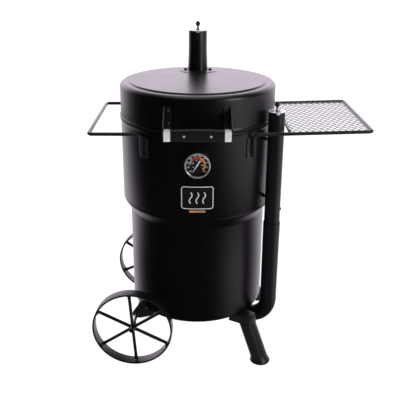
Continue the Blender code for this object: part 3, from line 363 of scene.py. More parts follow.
# Each row gives a material's name, its slot, its colour and roughness, and what departs from the defaults.
finishRows = {
    # The drum's black powder coat is set darker than the frame's copy of the same coat as painted shade: the
    # dark front of the drum, lid, floor and chimney flange is put into the colour.
    "drumCoat": ("drumPowderCoat", "black_coat", (0.0026, 0.0023, 0.0030), 0.34,
        {"colourSpread": 0.10, "roughSpread": 0.04, "grain": 1400, "grainDepth": 0.10, "specular": 0.55}),
    "pipeCoat": ("pipePowderCoat", "pipe_coat", (0.0075, 0.007, 0.0085), 0.34,
        {"colourSpread": 0.12, "grain": 1300, "grainDepth": 0.12, "specular": 0.6}),
    # The frame's black powder coat is the drum's coat set paler as painted light: the legs, rods, brackets
    # and hinge take a lighter colour in place of the light they catch.
    "frameCoat": ("framePowderCoat", "black_coat", (0.0170, 0.0160, 0.0185), 0.36,
        {"colourSpread": 0.2, "grain": 1100, "grainDepth": 0.10, "specular": 0.55}),
    "wheelCoat": ("wheelPowderCoat", "black_coat", (0.009, 0.0087, 0.0098), 0.40,
        {"colourSpread": 0.2, "grain": 1000, "grainDepth": 0.14}),
    # The ferrules' steel is a near-white, almost non-metallic colour: partly the steel's own pale tone,
    # partly a painted reflection of the pale backdrop.
    "brushedSteel": ("brushedSteel", "steel", (0.95, 0.94, 0.96), 0.32,
        {"metal": 0.10, "colourSpread": 0.06, "grain": 420, "grainDepth": 0.25, "stretch": (0.15, 6, 6),
         "anisotropic": 0.4}),
    "turnedSteel": ("turnedSteel", "steel", (0.80, 0.80, 0.82), 0.30,
        {"metal": 0.4, "colourSpread": 0.05, "grain": 500, "grainDepth": 0.12}),
    "darkSteel": ("darkSteel", "dark_steel", (0.22, 0.22, 0.235), 0.36,
        {"metal": 1.0, "colourSpread": 0.2, "blotch": 40, "grain": 700, "grainDepth": 0.15}),
    "blackBolt": ("blackBolt", "dark_steel", (0.02, 0.02, 0.022), 0.38,
        {"metal": 0.6, "colourSpread": 0.2, "blotch": 80, "grainDepth": 0.12}),
    "chromePlate": ("chromePlate", "chrome", (0.84, 0.84, 0.86), 0.14,
        {"metal": 0.7, "colourSpread": 0.02, "roughSpread": 0.03, "blotch": 25, "grain": 300,
         "grainDepth": 0.02}),
    "screwZinc": ("screwZinc", "steel", (0.20, 0.20, 0.215), 0.34,
        {"metal": 1.0, "colourSpread": 0.1, "blotch": 120, "grainDepth": 0.1}),
    "shelfCoat": ("shelfGreyCoat", "mesh_steel", (0.33, 0.32, 0.345), 0.42,
        {"metal": 0.10, "colourSpread": 0.12, "blotch": 60, "grain": 800, "grainDepth": 0.12}),
    "gripPlastic": ("gripPlastic", "black_plastic", (0.011, 0.011, 0.012), 0.38,
        {"colourSpread": 0.1, "grain": 1800, "grainDepth": 0.08}),
    "knobPlastic": ("knobPlastic", "black_plastic", (0.012, 0.012, 0.013), 0.3,
        {"colourSpread": 0.1, "blotch": 80, "grain": 1500, "grainDepth": 0.05}),
    "footRubber": ("footRubber", "black_plastic", (0.016, 0.016, 0.016), 0.7,
        {"colourSpread": 0.2, "blotch": 50, "grainDepth": 0.3}),
    "sealFelt": ("sealFelt", "seal_felt", (0.03, 0.03, 0.03), 0.95,
        {"colourSpread": 0.4, "blotch": 200, "grain": 600, "grainDepth": 0.8}),
    "grateEnamel": ("grateEnamel", "enamel", (0.014, 0.014, 0.015), 0.16,
        {"colourSpread": 0.1, "blotch": 30, "grain": 200, "grainDepth": 0.08, "coat": 0.4}),
    "basketSteel": ("basketSteel", "dark_steel", (0.10, 0.095, 0.09), 0.5,
        {"metal": 0.9, "colourSpread": 0.35, "blotch": 22, "grain": 500, "grainDepth": 0.3}),
    "dialPrint": ("dialPrint", "dial_black", (0.005, 0.005, 0.006), 0.5, {"colourSpread": 0.05}),
    "markWhite": ("markWhite", "needle_paint", (0.92, 0.92, 0.90), 0.5,
        {"colourSpread": 0.03, "grainDepth": 0.02}),
    "markRed": ("markRed", "needle_paint", (0.55, 0.03, 0.02), 0.5,
        {"colourSpread": 0.05, "grainDepth": 0.02}),
    "markOrange": ("markOrange", "needle_paint", (0.90, 0.34, 0.05), 0.5,
        {"colourSpread": 0.05, "grainDepth": 0.02}),
    "markBlue": ("markBlue", "needle_paint", (0.23, 0.30, 0.36), 0.5,
        {"colourSpread": 0.05, "grainDepth": 0.02}),
    "badgeField": ("badgeField", "badge_metal", (0.008, 0.0075, 0.008), 0.40,
        {"colourSpread": 0.25, "blotch": 60, "grainDepth": 0.25}),
    "badgeRelief": ("badgeRelief", "badge_metal", (0.92, 0.92, 0.93), 0.36,
        {"metal": 0.05, "blotch": 90, "grain": 700, "grainDepth": 0.15}),
    "badgeGold": ("badgeGold", "badge_metal", (0.80, 0.40, 0.15), 0.36,
        {"metal": 0.2, "colourSpread": 0.2, "blotch": 90, "grain": 700, "grainDepth": 0.15}),
}
finishes = {key: (makeFinish(name, colour, rough, **more), slot) for key, (name, slot, colour, rough,
    more) in finishRows.items()}


def makeGlass():
    material = bpy.data.materials.new("gaugeGlass")
    material.use_nodes = True
    add, link, shader = nodeMaker(material)
    clear = {"Base Color": (1, 1, 1, 1), "IOR": 1.45, "Transmission Weight": 1.0, "Alpha": 0.10}
    for key, value in clear.items():
        shader.inputs[key].default_value = value
    smear = add("ShaderNodeTexNoise", Scale=60.0, Detail=3.0)
    link(add("ShaderNodeTexCoord").outputs["Object"], smear.inputs["Vector"])
    film = add("ShaderNodeMapRange", **{"To Min": 0.01, "To Max": 0.05})
    link(smear.outputs["Fac"], film.inputs["Value"])
    link(film.outputs["Result"], shader.inputs["Roughness"])
    return material


finishes["gaugeGlass"] = (makeGlass(), "glass")
print("finishes made")


# A rolled rim, a straight wall, a necked wall and a rounded bottom edge.
drum = {"sheet": 0.0018, "rimRoll": 0.0034, "bottomRadius": 0.011, "floorSeat": 0.022, "wallRadius": 0.273,
    "steps": 192}


def makeDrum():
    low, high = boxOf("drum_upper_shell")
    lowerLow, lowerHigh = boxOf("drum_lower_shell")
    radius = (lowerHigh[0] - lowerLow[0]) / 2
    necked = radius - 0.025
    roll = drum["rimRoll"]
    rollCentre = (radius + 0.0002, high[2] - roll)
    outer = [(radius, low[2] + 0.0014), (radius, high[2] - 0.02), (radius, high[2] - roll * 2.6)]
    rim = arcPoints(rollCentre, roll, -70, 180, 14)
    wall = radius - drum["sheet"]
    profile = np.concatenate([outer, rim, [(wall, high[2] - roll * 3), (wall, low[2]), (radius - 0.0008,
        low[2])]])
    upper = moved(turned(profile, drum["steps"]), drumAxis)
    makePiece("drumUpperWall", upper, "drumCoat", "drum_upper_shell")
    neckTop, neckLow = lowerHigh[2] - 0.004, lowerHigh[2] - 0.0478
    # The neck eases in and out of its slope with a smooth step between the two radii.
    ease = np.linspace(0, 1, 24)
    smooth = ease * ease * (3 - 2 * ease)
    blendIn = 0.55 * ease + 0.45 * smooth
    neck = np.column_stack([radius - (radius - necked) * blendIn, neckTop + (neckLow - neckTop) * ease])
    bottom = drum["bottomRadius"]
    foot = arcPoints((necked - bottom, lowerLow[2] + bottom), bottom, 0, -90, 10)
    outer = np.concatenate([[(radius - 0.0004, lowerHigh[2])], neck, [(necked, lowerLow[2] + 0.2)], foot,
        [(necked - drum["floorSeat"], lowerLow[2])]])
    inner = outer[::-1] - (drum["sheet"], 0)
    inner[:11, 1] += drum["sheet"]
    lower = moved(turned(np.concatenate([outer, inner]), drum["steps"]), drumAxis)
    makePiece("drumLowerWall", lower, "drumCoat", "drum_lower_shell")
    makeFloor()
    makeSeal()


# The floor is a disc with a raised ring pressed into it and a collar round the air pipe.
def makeFloor():
    low, high = boxOf("drum_floor")
    edge = halfWidth("drum_floor")
    hole = 0.0298
    reach = np.linspace(edge, hole + 0.006, 40)
    ripple = 0.0012 * np.exp(-((reach - edge * 0.62) / 0.010) ** 2)
    top = np.column_stack([reach, high[2] + ripple])
    collar = [(hole + 0.003, high[2] + 0.0005), (hole + 0.0018, high[2] + 0.004), (hole, high[2] + 0.004),
        (hole, low[2])]
    under = np.column_stack([reach[::-1], low[2] + ripple[::-1]])
    floor = moved(turned(np.concatenate([top, collar, under]), 128), drumAxis)
    makePiece("drumFloor", floor, "drumCoat", "drum_floor")


def makeSeal():
    low, high = boxOf("lid_seal")
    outerRadius = halfWidth("lid_seal")
    half = (high[2] - low[2]) / 2
    profile = circlePoints(1, 16) * (0.0033, half) + (outerRadius - 0.0036, (low[2] + high[2]) / 2)
    makePiece("lidSealRope", moved(turned(profile, 160), drumAxis), "sealFelt", "lid_seal")


makeDrum()
print("drum made")


# A drawn steel lid with a raised top, a soft shoulder and a rolled lip.
lid = {"sheet": 0.0018, "shoulder": 0.017, "lipOut": 0.003, "stepInset": 0.033, "stepTall": 0.0045,
    "steps": 192}


def lidProfile():
    low, high = boxOf("lid_shell")
    radius = halfWidth("lid_shell") - lid["lipOut"]
    shelf = high[2] - lid["stepTall"]
    step = radius - lid["stepInset"]
    top = [(0, high[2]), (step * 0.5, high[2]), (step - 0.006, high[2])]
    riser = arcPoints((step - 0.004, high[2] - 0.004), 0.004, 90, 20, 6)
    foot = arcPoints((step + 0.0045, shelf + 0.0030), 0.0030, 200, 270, 5)
    shoulder = arcPoints((radius - lid["shoulder"], shelf - lid["shoulder"]), lid["shoulder"], 90, 0, 12)
    lip = [(radius, low[2] + 0.0125), (radius + 0.0004, low[2] + 0.0095)]
    lipRoll = arcPoints((radius + 0.0002, low[2] + 0.0031), 0.0030, 60, -120, 10)
    outer = np.concatenate([top, riser, foot, shoulder, lip, lipRoll])
    # The inside follows the outside at the sheet's thickness, measured square to the profile.
    slope = np.gradient(outer, axis=0)
    slope /= np.maximum(np.linalg.norm(slope, axis=1, keepdims=True), 1e-9)
    inner = outer[:-9] + np.column_stack([slope[:-9, 1], -slope[:-9, 0]]) * lid["sheet"]
    inner[:, 0] = np.clip(inner[:, 0], 0, radius - lid["sheet"])
    return np.concatenate([outer, [(radius - lid["sheet"], low[2] + 0.0006)], inner[::-1]])


def makeLid():
    profile = lidProfile()
    profile[0, 0] = profile[-1, 0] = 0
    makePiece("lidShell", moved(turned(profile, lid["steps"]), drumAxis), "drumCoat", "lid_shell", body="lid")


makeLid()
print("lid made")


# A disc with a bent tab, a spring and an acorn knob, the same on the chimney and the air pipe.
damper = {"thick": 0.0016, "tabWidth": 0.0105, "tabDrop": 0.0045, "springTurns": 6, "springWire": 0.0009,
    "boltHole": 0.0029, "turn": {"chimney": 0, "intake": -31}}


# Three holes round the bolt's own hole, turned by an angle in degrees.
def holedDisc(radius, thick, tubeRadius, turnBy):
    angle = np.radians(np.array([90, 210, 330]) + turnBy)
    centres = np.column_stack([np.cos(angle), np.sin(angle)]) * tubeRadius * 0.56
    loops = [circlePoints(radius, 96)] + [circlePoints(tubeRadius * 0.27, 36, centre) for centre in centres]
    return cutPlate(loops + [circlePoints(damper["boltHole"], 20)], thick)


def makeDamper(label, tubeRadius, place, discBody, fixedBody):
    low, high = boxOf(f"{label}_damper")
    edge = tubeRadius + 0.0012
    disc = holedDisc(edge, damper["thick"], tubeRadius, damper["turn"][label])
    disc = moved(disc, (place[0], place[1], low[2]))
    half = damper["tabWidth"] / 2
    reach = np.array([edge - 0.003, edge + 0.0055, edge + 0.0072, edge + 0.0080])
    drop = np.array([0.0, 0.0, -0.0012, -damper["tabDrop"]])
    across = np.array([-half, -half * 0.96, half * 0.96, half])
    topSide = np.stack([np.outer(np.ones(4), across), -np.outer(reach, np.ones(4)), np.outer(drop, np.ones(4))
        + damper["thick"]], -1)
    underSide = topSide - (0, 0, damper["thick"])
    underSide[-1, :, 1] += 0.0012
    ring = np.concatenate([topSide, underSide[::-1]])
    tab = outward(gridSurface(ring, alongClosed=True, acrossClosed=False))
    left = outward((ring[:, 0], np.array([[0, 1, 6, 7], [1, 2, 5, 6], [2, 3, 4, 5]])))
    right = (ring[:, 3], np.array([[7, 6, 1, 0], [6, 5, 2, 1], [5, 4, 3, 2]]))
    tab = moved(together(tab, left, right), (place[0], place[1], low[2]))
    makePiece(f"{label}DamperDisc", disc, "turnedSteel", f"{label}_damper", body=discBody)
    makePiece(f"{label}DamperTab", tab, "turnedSteel", body=discBody)
    springLow, springHigh = boxOf(f"{label}_damper_spring")
    turns = np.linspace(0, damper["springTurns"] * 2 * np.pi, damper["springTurns"] * 20)
    share = turns / turns[-1]
    width = 0.0050 - 0.0012 * share
    wire = damper["springWire"]
    helix = np.column_stack([width * np.cos(turns), width * np.sin(turns), wire + (springHigh[2]
        - springLow[2] - 2 * wire) * share])
    spring = moved(bar(helix, wire, 8, chamfer=0.0002), (place[0], place[1], springLow[2]))
    makePiece(f"{label}DamperSpring", spring, "chromePlate", f"{label}_damper_spring", body=fixedBody)
    knobLow, knobHigh = boxOf(f"{label}_damper_knob")
    start = springHigh[2] + 0.0003
    tall = knobHigh[2] - start
    # The acorn: a collar, then a dome whose radius falls as a cosine towards the tip.
    rise = np.linspace(0, 1, 14)
    dome = np.column_stack([0.0085 * np.cos(rise * np.pi / 2) ** 0.62, start + tall * (0.34 + 0.66 * rise)])
    collar = [(0.0062, start + 0.0004), (0.0066, start + tall * 0.16), (0.0080, start + tall * 0.24)]
    under = [(0.0025, start), (0.0025, knobLow[2] + 0.0026), (0.0046, knobLow[2] + 0.0024), (0.0046,
        knobLow[2] + 0.0002), (0, knobLow[2])]
    profile = np.concatenate([dome[::-1], collar[::-1], [(0.0058, start)], under])
    knob = moved(turned(profile, 40), (place[0], place[1], 0))
    makePiece(f"{label}DamperKnob", knob, "knobPlastic", f"{label}_damper_knob", body=fixedBody)
    washer = turned([(0.0068, 0.0009), (0.0071, 0.0005), (0.0068, 0), (0.0029, 0), (0.0029, 0.0009)], 32)
    makePiece(f"{label}DamperWasher", moved(washer, (place[0], place[1], high[2] + 0.00005)), "screwZinc",
        body=fixedBody)


# A tube with the damper's plate set in its top, and a foot that can spread out below.
def makeTubeWithPlate(name, label, node, place, radius, body, low, footFlare=0.0):
    high = boxOf(node)[1][2]
    wall, plateThick, topEdge = 0.0015, 0.0016, 0.0012
    # The foot spreads as a smooth step over the lower part of the tube.
    share = np.linspace(0.62, 0, 16)
    flare = (1 - share / 0.62) ** 2 * (1 + 2 * share / 0.62)
    side = np.column_stack([radius + footFlare * flare, low + (high - low) * share])
    inner = [(radius - wall, z) for z in (low, high - plateThick - 0.0006, high - 0.0004)]
    edge = arcPoints((radius - topEdge, high - topEdge), topEdge, 90, 0, 6)
    tube = turned(np.concatenate([edge, side, inner]), 72)
    makePiece(name, moved(tube, (place[0], place[1], 0)), "pipeCoat", node, body=body)
    disc = holedDisc(radius - wall - 0.0001, plateThick - 0.0004, radius, damper["turn"][label])
    disc = moved(disc, (place[0], place[1], high - plateThick))
    makePiece(name + "TopPlate", disc, "pipeCoat", body=body)


chimney = {"flangeThick": 0.0010, "boltReach": 0.0465}


def makeChimney():
    place = middleOf("chimney_tube")
    low, radius = boxOf("chimney_tube")[0], halfWidth("chimney_tube")
    makeTubeWithPlate("chimneyTube", "chimney", "chimney_tube", place, radius, "lid", low[2], 0.0026)
    flangeLow, flangeRadius = boxOf("chimney_flange")[0], halfWidth("chimney_flange")
    top = flangeLow[2] + chimney["flangeThick"]
    inner = radius + 0.0029
    # The weld swells between the tube and the flange, with a ripple round it from the passes.
    profile = np.concatenate([arcPoints((flangeRadius - 0.001, top - 0.001), 0.001, 90, 0, 5), [(flangeRadius
        - 0.0006, flangeLow[2])], [(inner, flangeLow[2])], [(inner, top + 0.0013)], arcPoints((inner + 0.0018,
        top + 0.0018), 0.0018, 190, 262, 6)])
    flange = turned(profile, 128)
    points = flange[0]
    angle = np.arctan2(points[:, 1], points[:, 0])
    near = np.exp(-((np.hypot(points[:, 0], points[:, 1]) - inner - 0.0006) / 0.001) ** 2)
    points[:, 2] += near * (points[:, 2] > top - 0.0004) * 0.00035 * np.sin(angle * 46)
    makePiece("chimneyFlange", (points + (place[0], place[1], 0), flange[1]), "drumCoat", "chimney_flange",
        body="lid")
    washer = turned([(0.0080, 0.0010), (0.0083, 0.0006), (0.0080, 0), (0.0020, 0), (0.0020, 0.0010)], 32)
    seats = [np.array([place[0] + side * chimney["boltReach"], place[1], top]) for side in (-1, 1)]
    heads = [hexHead(0.0066, 0.0046, seat + (0, 0, 0.0009), (0, 0, 1)) for seat in seats]
    rings = [aimed(washer, seat, (0, 0, 1)) for seat in seats]
    makePiece("chimneyFlangeBolts", together(*heads, *rings), "blackBolt", body="lid")
    makeDamper("chimney", radius, place, "chimney_damper_disc", "lid")


makeChimney()
print("chimney made")


# A straight tube, a slip joint, and a bend under the floor.
airPipe = {"radius": 0.0275, "wall": 0.0015, "jointGap": 0.0003, "bend": 0.090, "riseBend": 0.034,
    "sides": 48}


def makeAirPipe():
    place = middleOf("intake_pipe_upper")
    lowerLow, lowerHigh = boxOf("intake_pipe_lower")
    radius = airPipe["radius"]
    joint = lowerHigh[2]
    makeTubeWithPlate("intakePipeUpper", "intake", "intake_pipe_upper", place, radius, "drum", joint - 0.018)
    outer = radius + airPipe["jointGap"] + airPipe["wall"]
    out = place[:2] - drumAxis[:2]
    reach = np.linalg.norm(out)
    heading = np.append(out / reach, 0)
    runHeight = lowerLow[2] + outer
    stubTop = boxOf("drum_floor")[1][2] + 0.012
    corners = [drumAxis + heading * reach + (0, 0, joint), drumAxis + heading * reach + (0, 0, runHeight),
        drumAxis + (0, 0, runHeight), drumAxis + (0, 0, stubTop)]
    path = softPath(corners, [airPipe["bend"], airPipe["riseBend"]], 26)
    lean = np.cross(heading, (0, 0, 1))
    tangent = tangentsOf(path)
    other = np.cross(tangent, lean)
    angle = np.linspace(0, 2 * np.pi, airPipe["sides"], endpoint=False)
    ring = lean * np.cos(angle)[None, :, None] + other[:, None] * np.sin(angle)[None, :, None]
    # The mouth of the lower pipe is rolled out a little, and the bend's outer skin is left round.
    away = np.linalg.norm(path - path[0], axis=1)
    swell = 1 + 0.022 * np.exp(-(away / 0.004) ** 2)
    outside = path[:, None] + ring * (outer * swell)[:, None, None]
    inside = path[:, None] + ring * ((outer - airPipe["wall"]) * swell)[:, None, None]
    pipe = outward(gridSurface(np.concatenate([outside, inside[::-1]]), alongClosed=True))
    makePiece("intakePipeLower", pipe, "pipeCoat", "intake_pipe_lower")
    weldAt = drumAxis + heading * reach + (0, 0, runHeight + airPipe["bend"] + 0.004)
    weld = np.column_stack([np.cos(angle) * (outer + 0.0001), np.sin(angle) * (outer + 0.0001), 0 * angle])
    makePiece("intakePipeWeld", moved(bar(weld, 0.0009, 8, closed=True), weldAt), "pipeCoat")
    boltWay = np.array([math.cos(-0.15), math.sin(-0.15), 0])
    head = hexHead(0.0050, 0.0035, place * (1, 1, 0) + (0, 0, joint + 0.052) + boltWay * (radius - 0.0002),
        boltWay)
    makePiece("intakePipeBolt", head, "darkSteel")
    profile = [(0.0, 0.0), (0.0080, 0.0), (0.0080, 0.0009), (0.0058, 0.0016), (0.0050, 0.0030), (0.0058,
        0.0052), (0.0076, 0.0060), (0.0076, 0.0071), (0.0, 0.0071)]
    for label in ("top", "bottom"):
        node = f"intake_standoff_{label}"
        wall = drumAxis + heading * drum["wallRadius"] + (0, 0, middleOf(node)[2])
        makePiece(f"intakeStandoff{label.title()}", aimed(turned(profile, 32), wall, heading), "darkSteel",
            node)
    makeDamper("intake", radius, place, "intake_damper_disc", "drum")


makeAirPipe()
print("air pipe made")


# A bowed grip between steel ferrules on two folded brackets.
lidHandle = {"bow": 0.17, "squareness": 3.2, "rivetX": 0.0415, "sheet": 0.003}


# A soft-cornered section: |y/a|^n + |z/b|^n = 1, so each angle gives cos and sin raised to 2/n.
def softSection(halfDepth, halfHeight, power, steps):
    angle = np.linspace(0, 2 * np.pi, steps, endpoint=False)
    c, s = np.cos(angle), np.sin(angle)
    return np.column_stack([halfDepth * np.sign(c) * np.abs(c) ** (2 / power), halfHeight * np.sign(s)
        * np.abs(s) ** (2 / power)])


def makeLidHandle():
    low, high = boxOf("lid_handle_bar")
    centre = (low + high) / 2
    half = (high[0] - low[0]) / 2
    ferruleLow, ferruleHigh = boxOf("lid_handle_ferrule_right")
    endDepth, endHeight = (ferruleHigh - ferruleLow)[1:] / 2
    section = softSection(endDepth, endHeight, lidHandle["squareness"], 48)
    along = np.concatenate([[-1, -1], np.linspace(-0.992, 0.992, 41), [1, 1]])
    size = 1 + lidHandle["bow"] * (1 - along ** 2)
    size[[1, -2]] *= 0.97
    size[[0, -1]] = 0
    grid = np.stack([np.outer(along * half, np.ones(48)), np.outer(size, section[:, 0]), np.outer(size,
        section[:, 1])], -1)
    makePiece("lidHandleGrip", moved(outward(gridSurface(grid)), centre), "gripPlastic", "lid_handle_bar",
        body="lid", smooth=50)
    front = low[1] + 0.0005
    rivets = [aimed(turned([(0, 0.0018), (0.0022, 0.0016), (0.0038, 0.0008), (0.0042, -0.0006), (0, -0.0006)],
        28), (centre[0] + side * lidHandle["rivetX"], front + 0.0003, centre[2]), (0, -1, 0)) for side in (-1,
        1)]
    makePiece("lidHandleRivets", together(*rivets), "turnedSteel", body="lid")
    for side, label in ((-1, "left"), (1, "right")):
        makeFerrule(label)
        makeLidBracket(side, label)


# A ferrule is a short soft-cornered sleeve with two shallow grooves round it.
def makeFerrule(label):
    node = f"lid_handle_ferrule_{label}"
    low, high = boxOf(node)
    centre = (low + high) / 2
    half = (high - low) / 2
    section = softSection(half[1] + 0.0006, half[2] + 0.0006, 4.2, 56)
    along = np.array([-1, -1, -0.94, -0.62, -0.58, -0.50, -0.46, 0.0, 0.46, 0.50, 0.58, 0.62, 0.94, 1, 1])
    size = np.array([0, 0.965, 1, 1, 0.985, 0.985, 1, 1.0, 1, 0.985, 0.985, 1, 1, 0.965, 0])
    grid = np.stack([np.outer(along * half[0], np.ones(56)), np.outer(size, section[:, 0]), np.outer(size,
        section[:, 1])], -1)
    makePiece(f"lidHandleFerrule{label.title()}", moved(outward(gridSurface(grid)), centre), "brushedSteel",
        node, body="lid", smooth=30)


def makeLidBracket(side, label):
    node = f"lid_handle_bracket_{label}"
    low, high = boxOf(node)
    sheet = lidHandle["sheet"]
    webX = high[0] - sheet if side > 0 else low[0]
    lidRadius = halfWidth("lid_shell") - lid["lipOut"]
    offset = abs(webX + sheet / 2 - drumAxis[0])
    wall = drumAxis[1] - math.sqrt(lidRadius ** 2 - (offset - sheet / 2) ** 2) - 0.0002
    top, bottom, tip = high[2], low[2], low[1]
    flangeLow = boxOf("lid_handle_bar")[0][2] + 0.012
    # The web: narrow at the top, straight down the lid's wall, and out to the ferrule at the foot.
    outline = roundOutline([(wall, top), (wall - 0.006, top), (tip + 0.004, bottom + 0.042), (tip, bottom
        + 0.036), (tip, bottom), (tip + 0.030, bottom), (wall - 0.004, flangeLow), (wall, flangeLow)], 0.0022,
        5)
    web = plate(outline, sheet, 0.0004)
    points = np.column_stack([webX + web[0][:, 2], web[0][:, 0], web[0][:, 1]])
    web = outward((points, web[1]))
    width, tall = 0.025, top - flangeLow
    angleHalf = width / 2 / lidRadius
    angleWeb = math.asin(offset / lidRadius)
    angle = side * (angleWeb - angleHalf)
    flange = plate(gridOutline(width, tall, 0.003), 0.0026, 0.0004)
    flange = wrapped(flange, lidRadius + 0.0004, angle, (top + flangeLow) / 2)
    makePiece(f"lidHandleBracket{label.title()}", together(web, flange), "frameCoat", node, body="lid")
    heads = []
    for height in (top - 0.0150, top - 0.0550):
        way = wayAt(angle)
        heads.append(screwHead(0.0052, 0.0026, drumAxis + way * (lidRadius + 0.0031) + (0, 0, height), way))
    makePiece(f"lidHandleBracket{label.title()}Screws", together(*heads), "screwZinc", body="lid")


# A rectangle's outline with cut corners, and extra points along its long sides so that it can be wrapped.
def gridOutline(width, height, corner, spread=9):
    x = np.linspace(-width / 2 + corner, width / 2 - corner, spread)
    half = height / 2
    arcs = [arcPoints((sx * (width / 2 - corner), sy * (half - corner)), corner, start, start + 90, 5) for sx,
        sy, start in ((1, -1, -90), (1, 1, 0), (-1, 1, 90), (-1, -1, 180))]
    lowSide = np.column_stack([x[1:-1], np.full(spread - 2, -half)])
    highSide = np.column_stack([x[1:-1][::-1], np.full(spread - 2, half)])
    return np.concatenate([lowSide, arcs[0], arcs[1], highSide, arcs[2], arcs[3]])


makeLidHandle()
print("lid handle made")


# Two leaves with rolled knuckles and a headed pin.
hinge = {"sheet": 0.003, "leafTall": 0.040, "earRadius": 0.008, "earWidth": 0.012, "screwTurn": 0.095}


# The drum's leaf has an ear at each end, and the lid's leaf has one wide ear between them.
def makeHinge():
    axis, sheet, ear = jointPlace("lid_hinge"), hinge["sheet"], hinge["earWidth"]
    for node, name, body, leaning in (("hinge_drum_leaf", "hingeDrumLeaf", "drum", -1),
                                      ("hinge_lid_leaf", "hingeLidLeaf", "lid", 1)):
        low, high = boxOf(node)
        half, radius = halfWidth(node), low[1] - drumAxis[1]
        leafLow = low[2] if leaning < 0 else high[2] - hinge["leafTall"]
        leafHigh = leafLow + hinge["leafTall"]
        middle = (leafLow + leafHigh) / 2
        outline = gridOutline(2 * half, hinge["leafTall"], 0.004, 15)
        leaf = wrapped(plate(outline, sheet - 0.0004, 0.0005), radius + 0.0002, math.pi, middle)
        spans = [(-half, ear - half), (half - ear, half)]
        if leaning > 0:
            spans = [(ear + 0.0005 - half, half - ear - 0.0005)]
        knee = leafHigh if leaning < 0 else leafLow
        ears = [makeEar(axis, radius + drumAxis[1], left, right, knee, leaning) for left, right in spans]
        makePiece(name, together(leaf, *ears), "frameCoat", node, body=body)
        ways = [wayAt(math.pi + turnBy * hinge["screwTurn"]) for turnBy in (-1, 0, 1)]
        height = (0, 0, middle + leaning * 0.006)
        heads = [screwHead(0.0048, 0.0024, drumAxis + way * (radius + sheet) + height, way) for way in ways]
        makePiece(name + "Screws", together(*heads), "screwZinc", body=body)
    half = halfWidth("hinge_pin")
    head = [(0, half), (0.0052, half - 0.0006), (0.0062, half - 0.0020), (0.0062, half - 0.0034), (0.0039,
        half - 0.0036)]
    pin = head + [(radius, -height) for radius, height in reversed(head)]
    makePiece("hingePin", aimed(turned(pin, 32), axis, (1, 0, 0)), "turnedSteel", "hinge_pin")


# An ear: a strap that leaves the leaf, and ends in a ring round the pin.
def makeEar(axis, wallY, left, right, knee, leaning):
    radius = hinge["earRadius"]
    ring = turned([(radius, right - 0.0004), (radius - 0.0004, right), (0.0043, right), (0.0043, left),
        (radius - 0.0004, left), (radius, left + 0.0004)], 40)
    ring = aimed(ring, axis, (1, 0, 0))
    start = np.array([wallY + 0.0015, knee + leaning * 0.004])
    end = np.array([axis[1] - radius * 0.80, axis[2] + leaning * 0.0016])
    corners = [start + (0, 0.008 * leaning), end + (0.002, 0.004 * leaning), end + (0.002, -0.0035 * leaning),
        start + (0, -0.006 * leaning)]
    strap = plate(roundOutline(corners, 0.0008, 3), right - left, 0.0004)
    points = np.column_stack([axis[0] + left + strap[0][:, 2], strap[0][:, 0], strap[0][:, 1]])
    return together(outward((points, strap[1])), ring)


makeHinge()
print("hinge made")


# The lifting handle on one side and the shelf's frame on the other.
rods = {"radius": 0.006, "bend": 0.016, "corner": 0.014, "drop": 0.078, "plateWidth": 0.030,
    "plateHeight": 0.070}


def rodPath(node, side):
    low, high = boxOf(node)
    radius = rods["radius"]
    near = high[0] - radius if side < 0 else low[0] + radius
    far = low[0] + radius if side < 0 else high[0] - radius
    front, back = low[1] + radius, high[1] - radius
    foot, level = low[2], low[2] + rods["drop"]
    corners = [(near, front, foot), (near, front, level), (far, front, level), (far, back, level), (near,
        back, level), (near, back, foot)]
    path = softPath(corners, [rods["bend"], rods["corner"], rods["corner"], rods["bend"]], 14)
    return path, near, level, high[2] - radius


def makeRodPlates(node, side):
    for end, label in ((-1, "front"), (1, "rear")):
        plateNode = f"{node}_plate_{label}"
        centre = middleOf(plateNode)
        out = centre - drumAxis
        angle = math.atan2(out[0], -out[1])
        outline = gridOutline(rods["plateWidth"], rods["plateHeight"], 0.003)
        flat = plate(outline, 0.0028, 0.0005)
        flat = wrapped(flat, drum["wallRadius"] + 0.0004, angle, centre[2])
        name = "handleRodPlate" if side < 0 else "shelfRodPlate"
        makePiece(name + label.title(), flat, "frameCoat", plateNode)
        shift = 0.0095 * (1 if (side > 0) == (end > 0) else -1)
        heads = []
        for height in (centre[2] + 0.0225, centre[2] - 0.0205):
            turnTo = angle + shift / 0.2762
            way = wayAt(turnTo)
            heads.append(screwHead(0.0045, 0.0024, drumAxis + way * 0.2762 + (0, 0, height), way))
        makePiece(name + label.title() + "Screws", together(*heads), "screwZinc")


def makeRods():
    path = rodPath("side_handle_rod", -1)[0]
    makePiece("sideHandleRod", bar(path, rods["radius"], 24, 0.0012, (1, 1, 1)), "frameCoat",
        "side_handle_rod", smooth=60)
    makeRodPlates("side_handle", -1)
    path, near, level, top = rodPath("shelf_frame", 1)
    far = path[:, 0].max()
    tilt = (top - level) / (far - near - rods["bend"])
    path[:, 2] += np.maximum(path[:, 0] - near - rods["bend"], 0) * tilt
    makePiece("shelfFrameRod", bar(path, rods["radius"], 24, 0.0012, (1, 1, 1)), "frameCoat", "shelf_frame",
        smooth=60)
    makeRodPlates("shelf", 1)
    barLow, barHigh = boxOf("shelf_crossbar")
    x = (barLow[0] + barHigh[0]) / 2
    height = (barLow[2] + barHigh[2]) / 2
    y = np.linspace(barLow[1] + 0.0002, barHigh[1] - 0.0002, 12)
    crossbar = bar(np.column_stack([0 * y + x, y, 0 * y + height]), 0.0050, 20, 0.0008)
    makePiece("shelfCrossbar", crossbar, "frameCoat", "shelf_crossbar", smooth=60)
    return near, level, tilt


shelfNear, shelfLevel, shelfTilt = makeRods()
print("rods made")


# Expanded sheet, a strand between each pair of rows of slots.
shelfMesh = {"slotWidth": 0.0212, "slotLength": 0.0400, "strand": 0.0033, "rise": 0.0011}


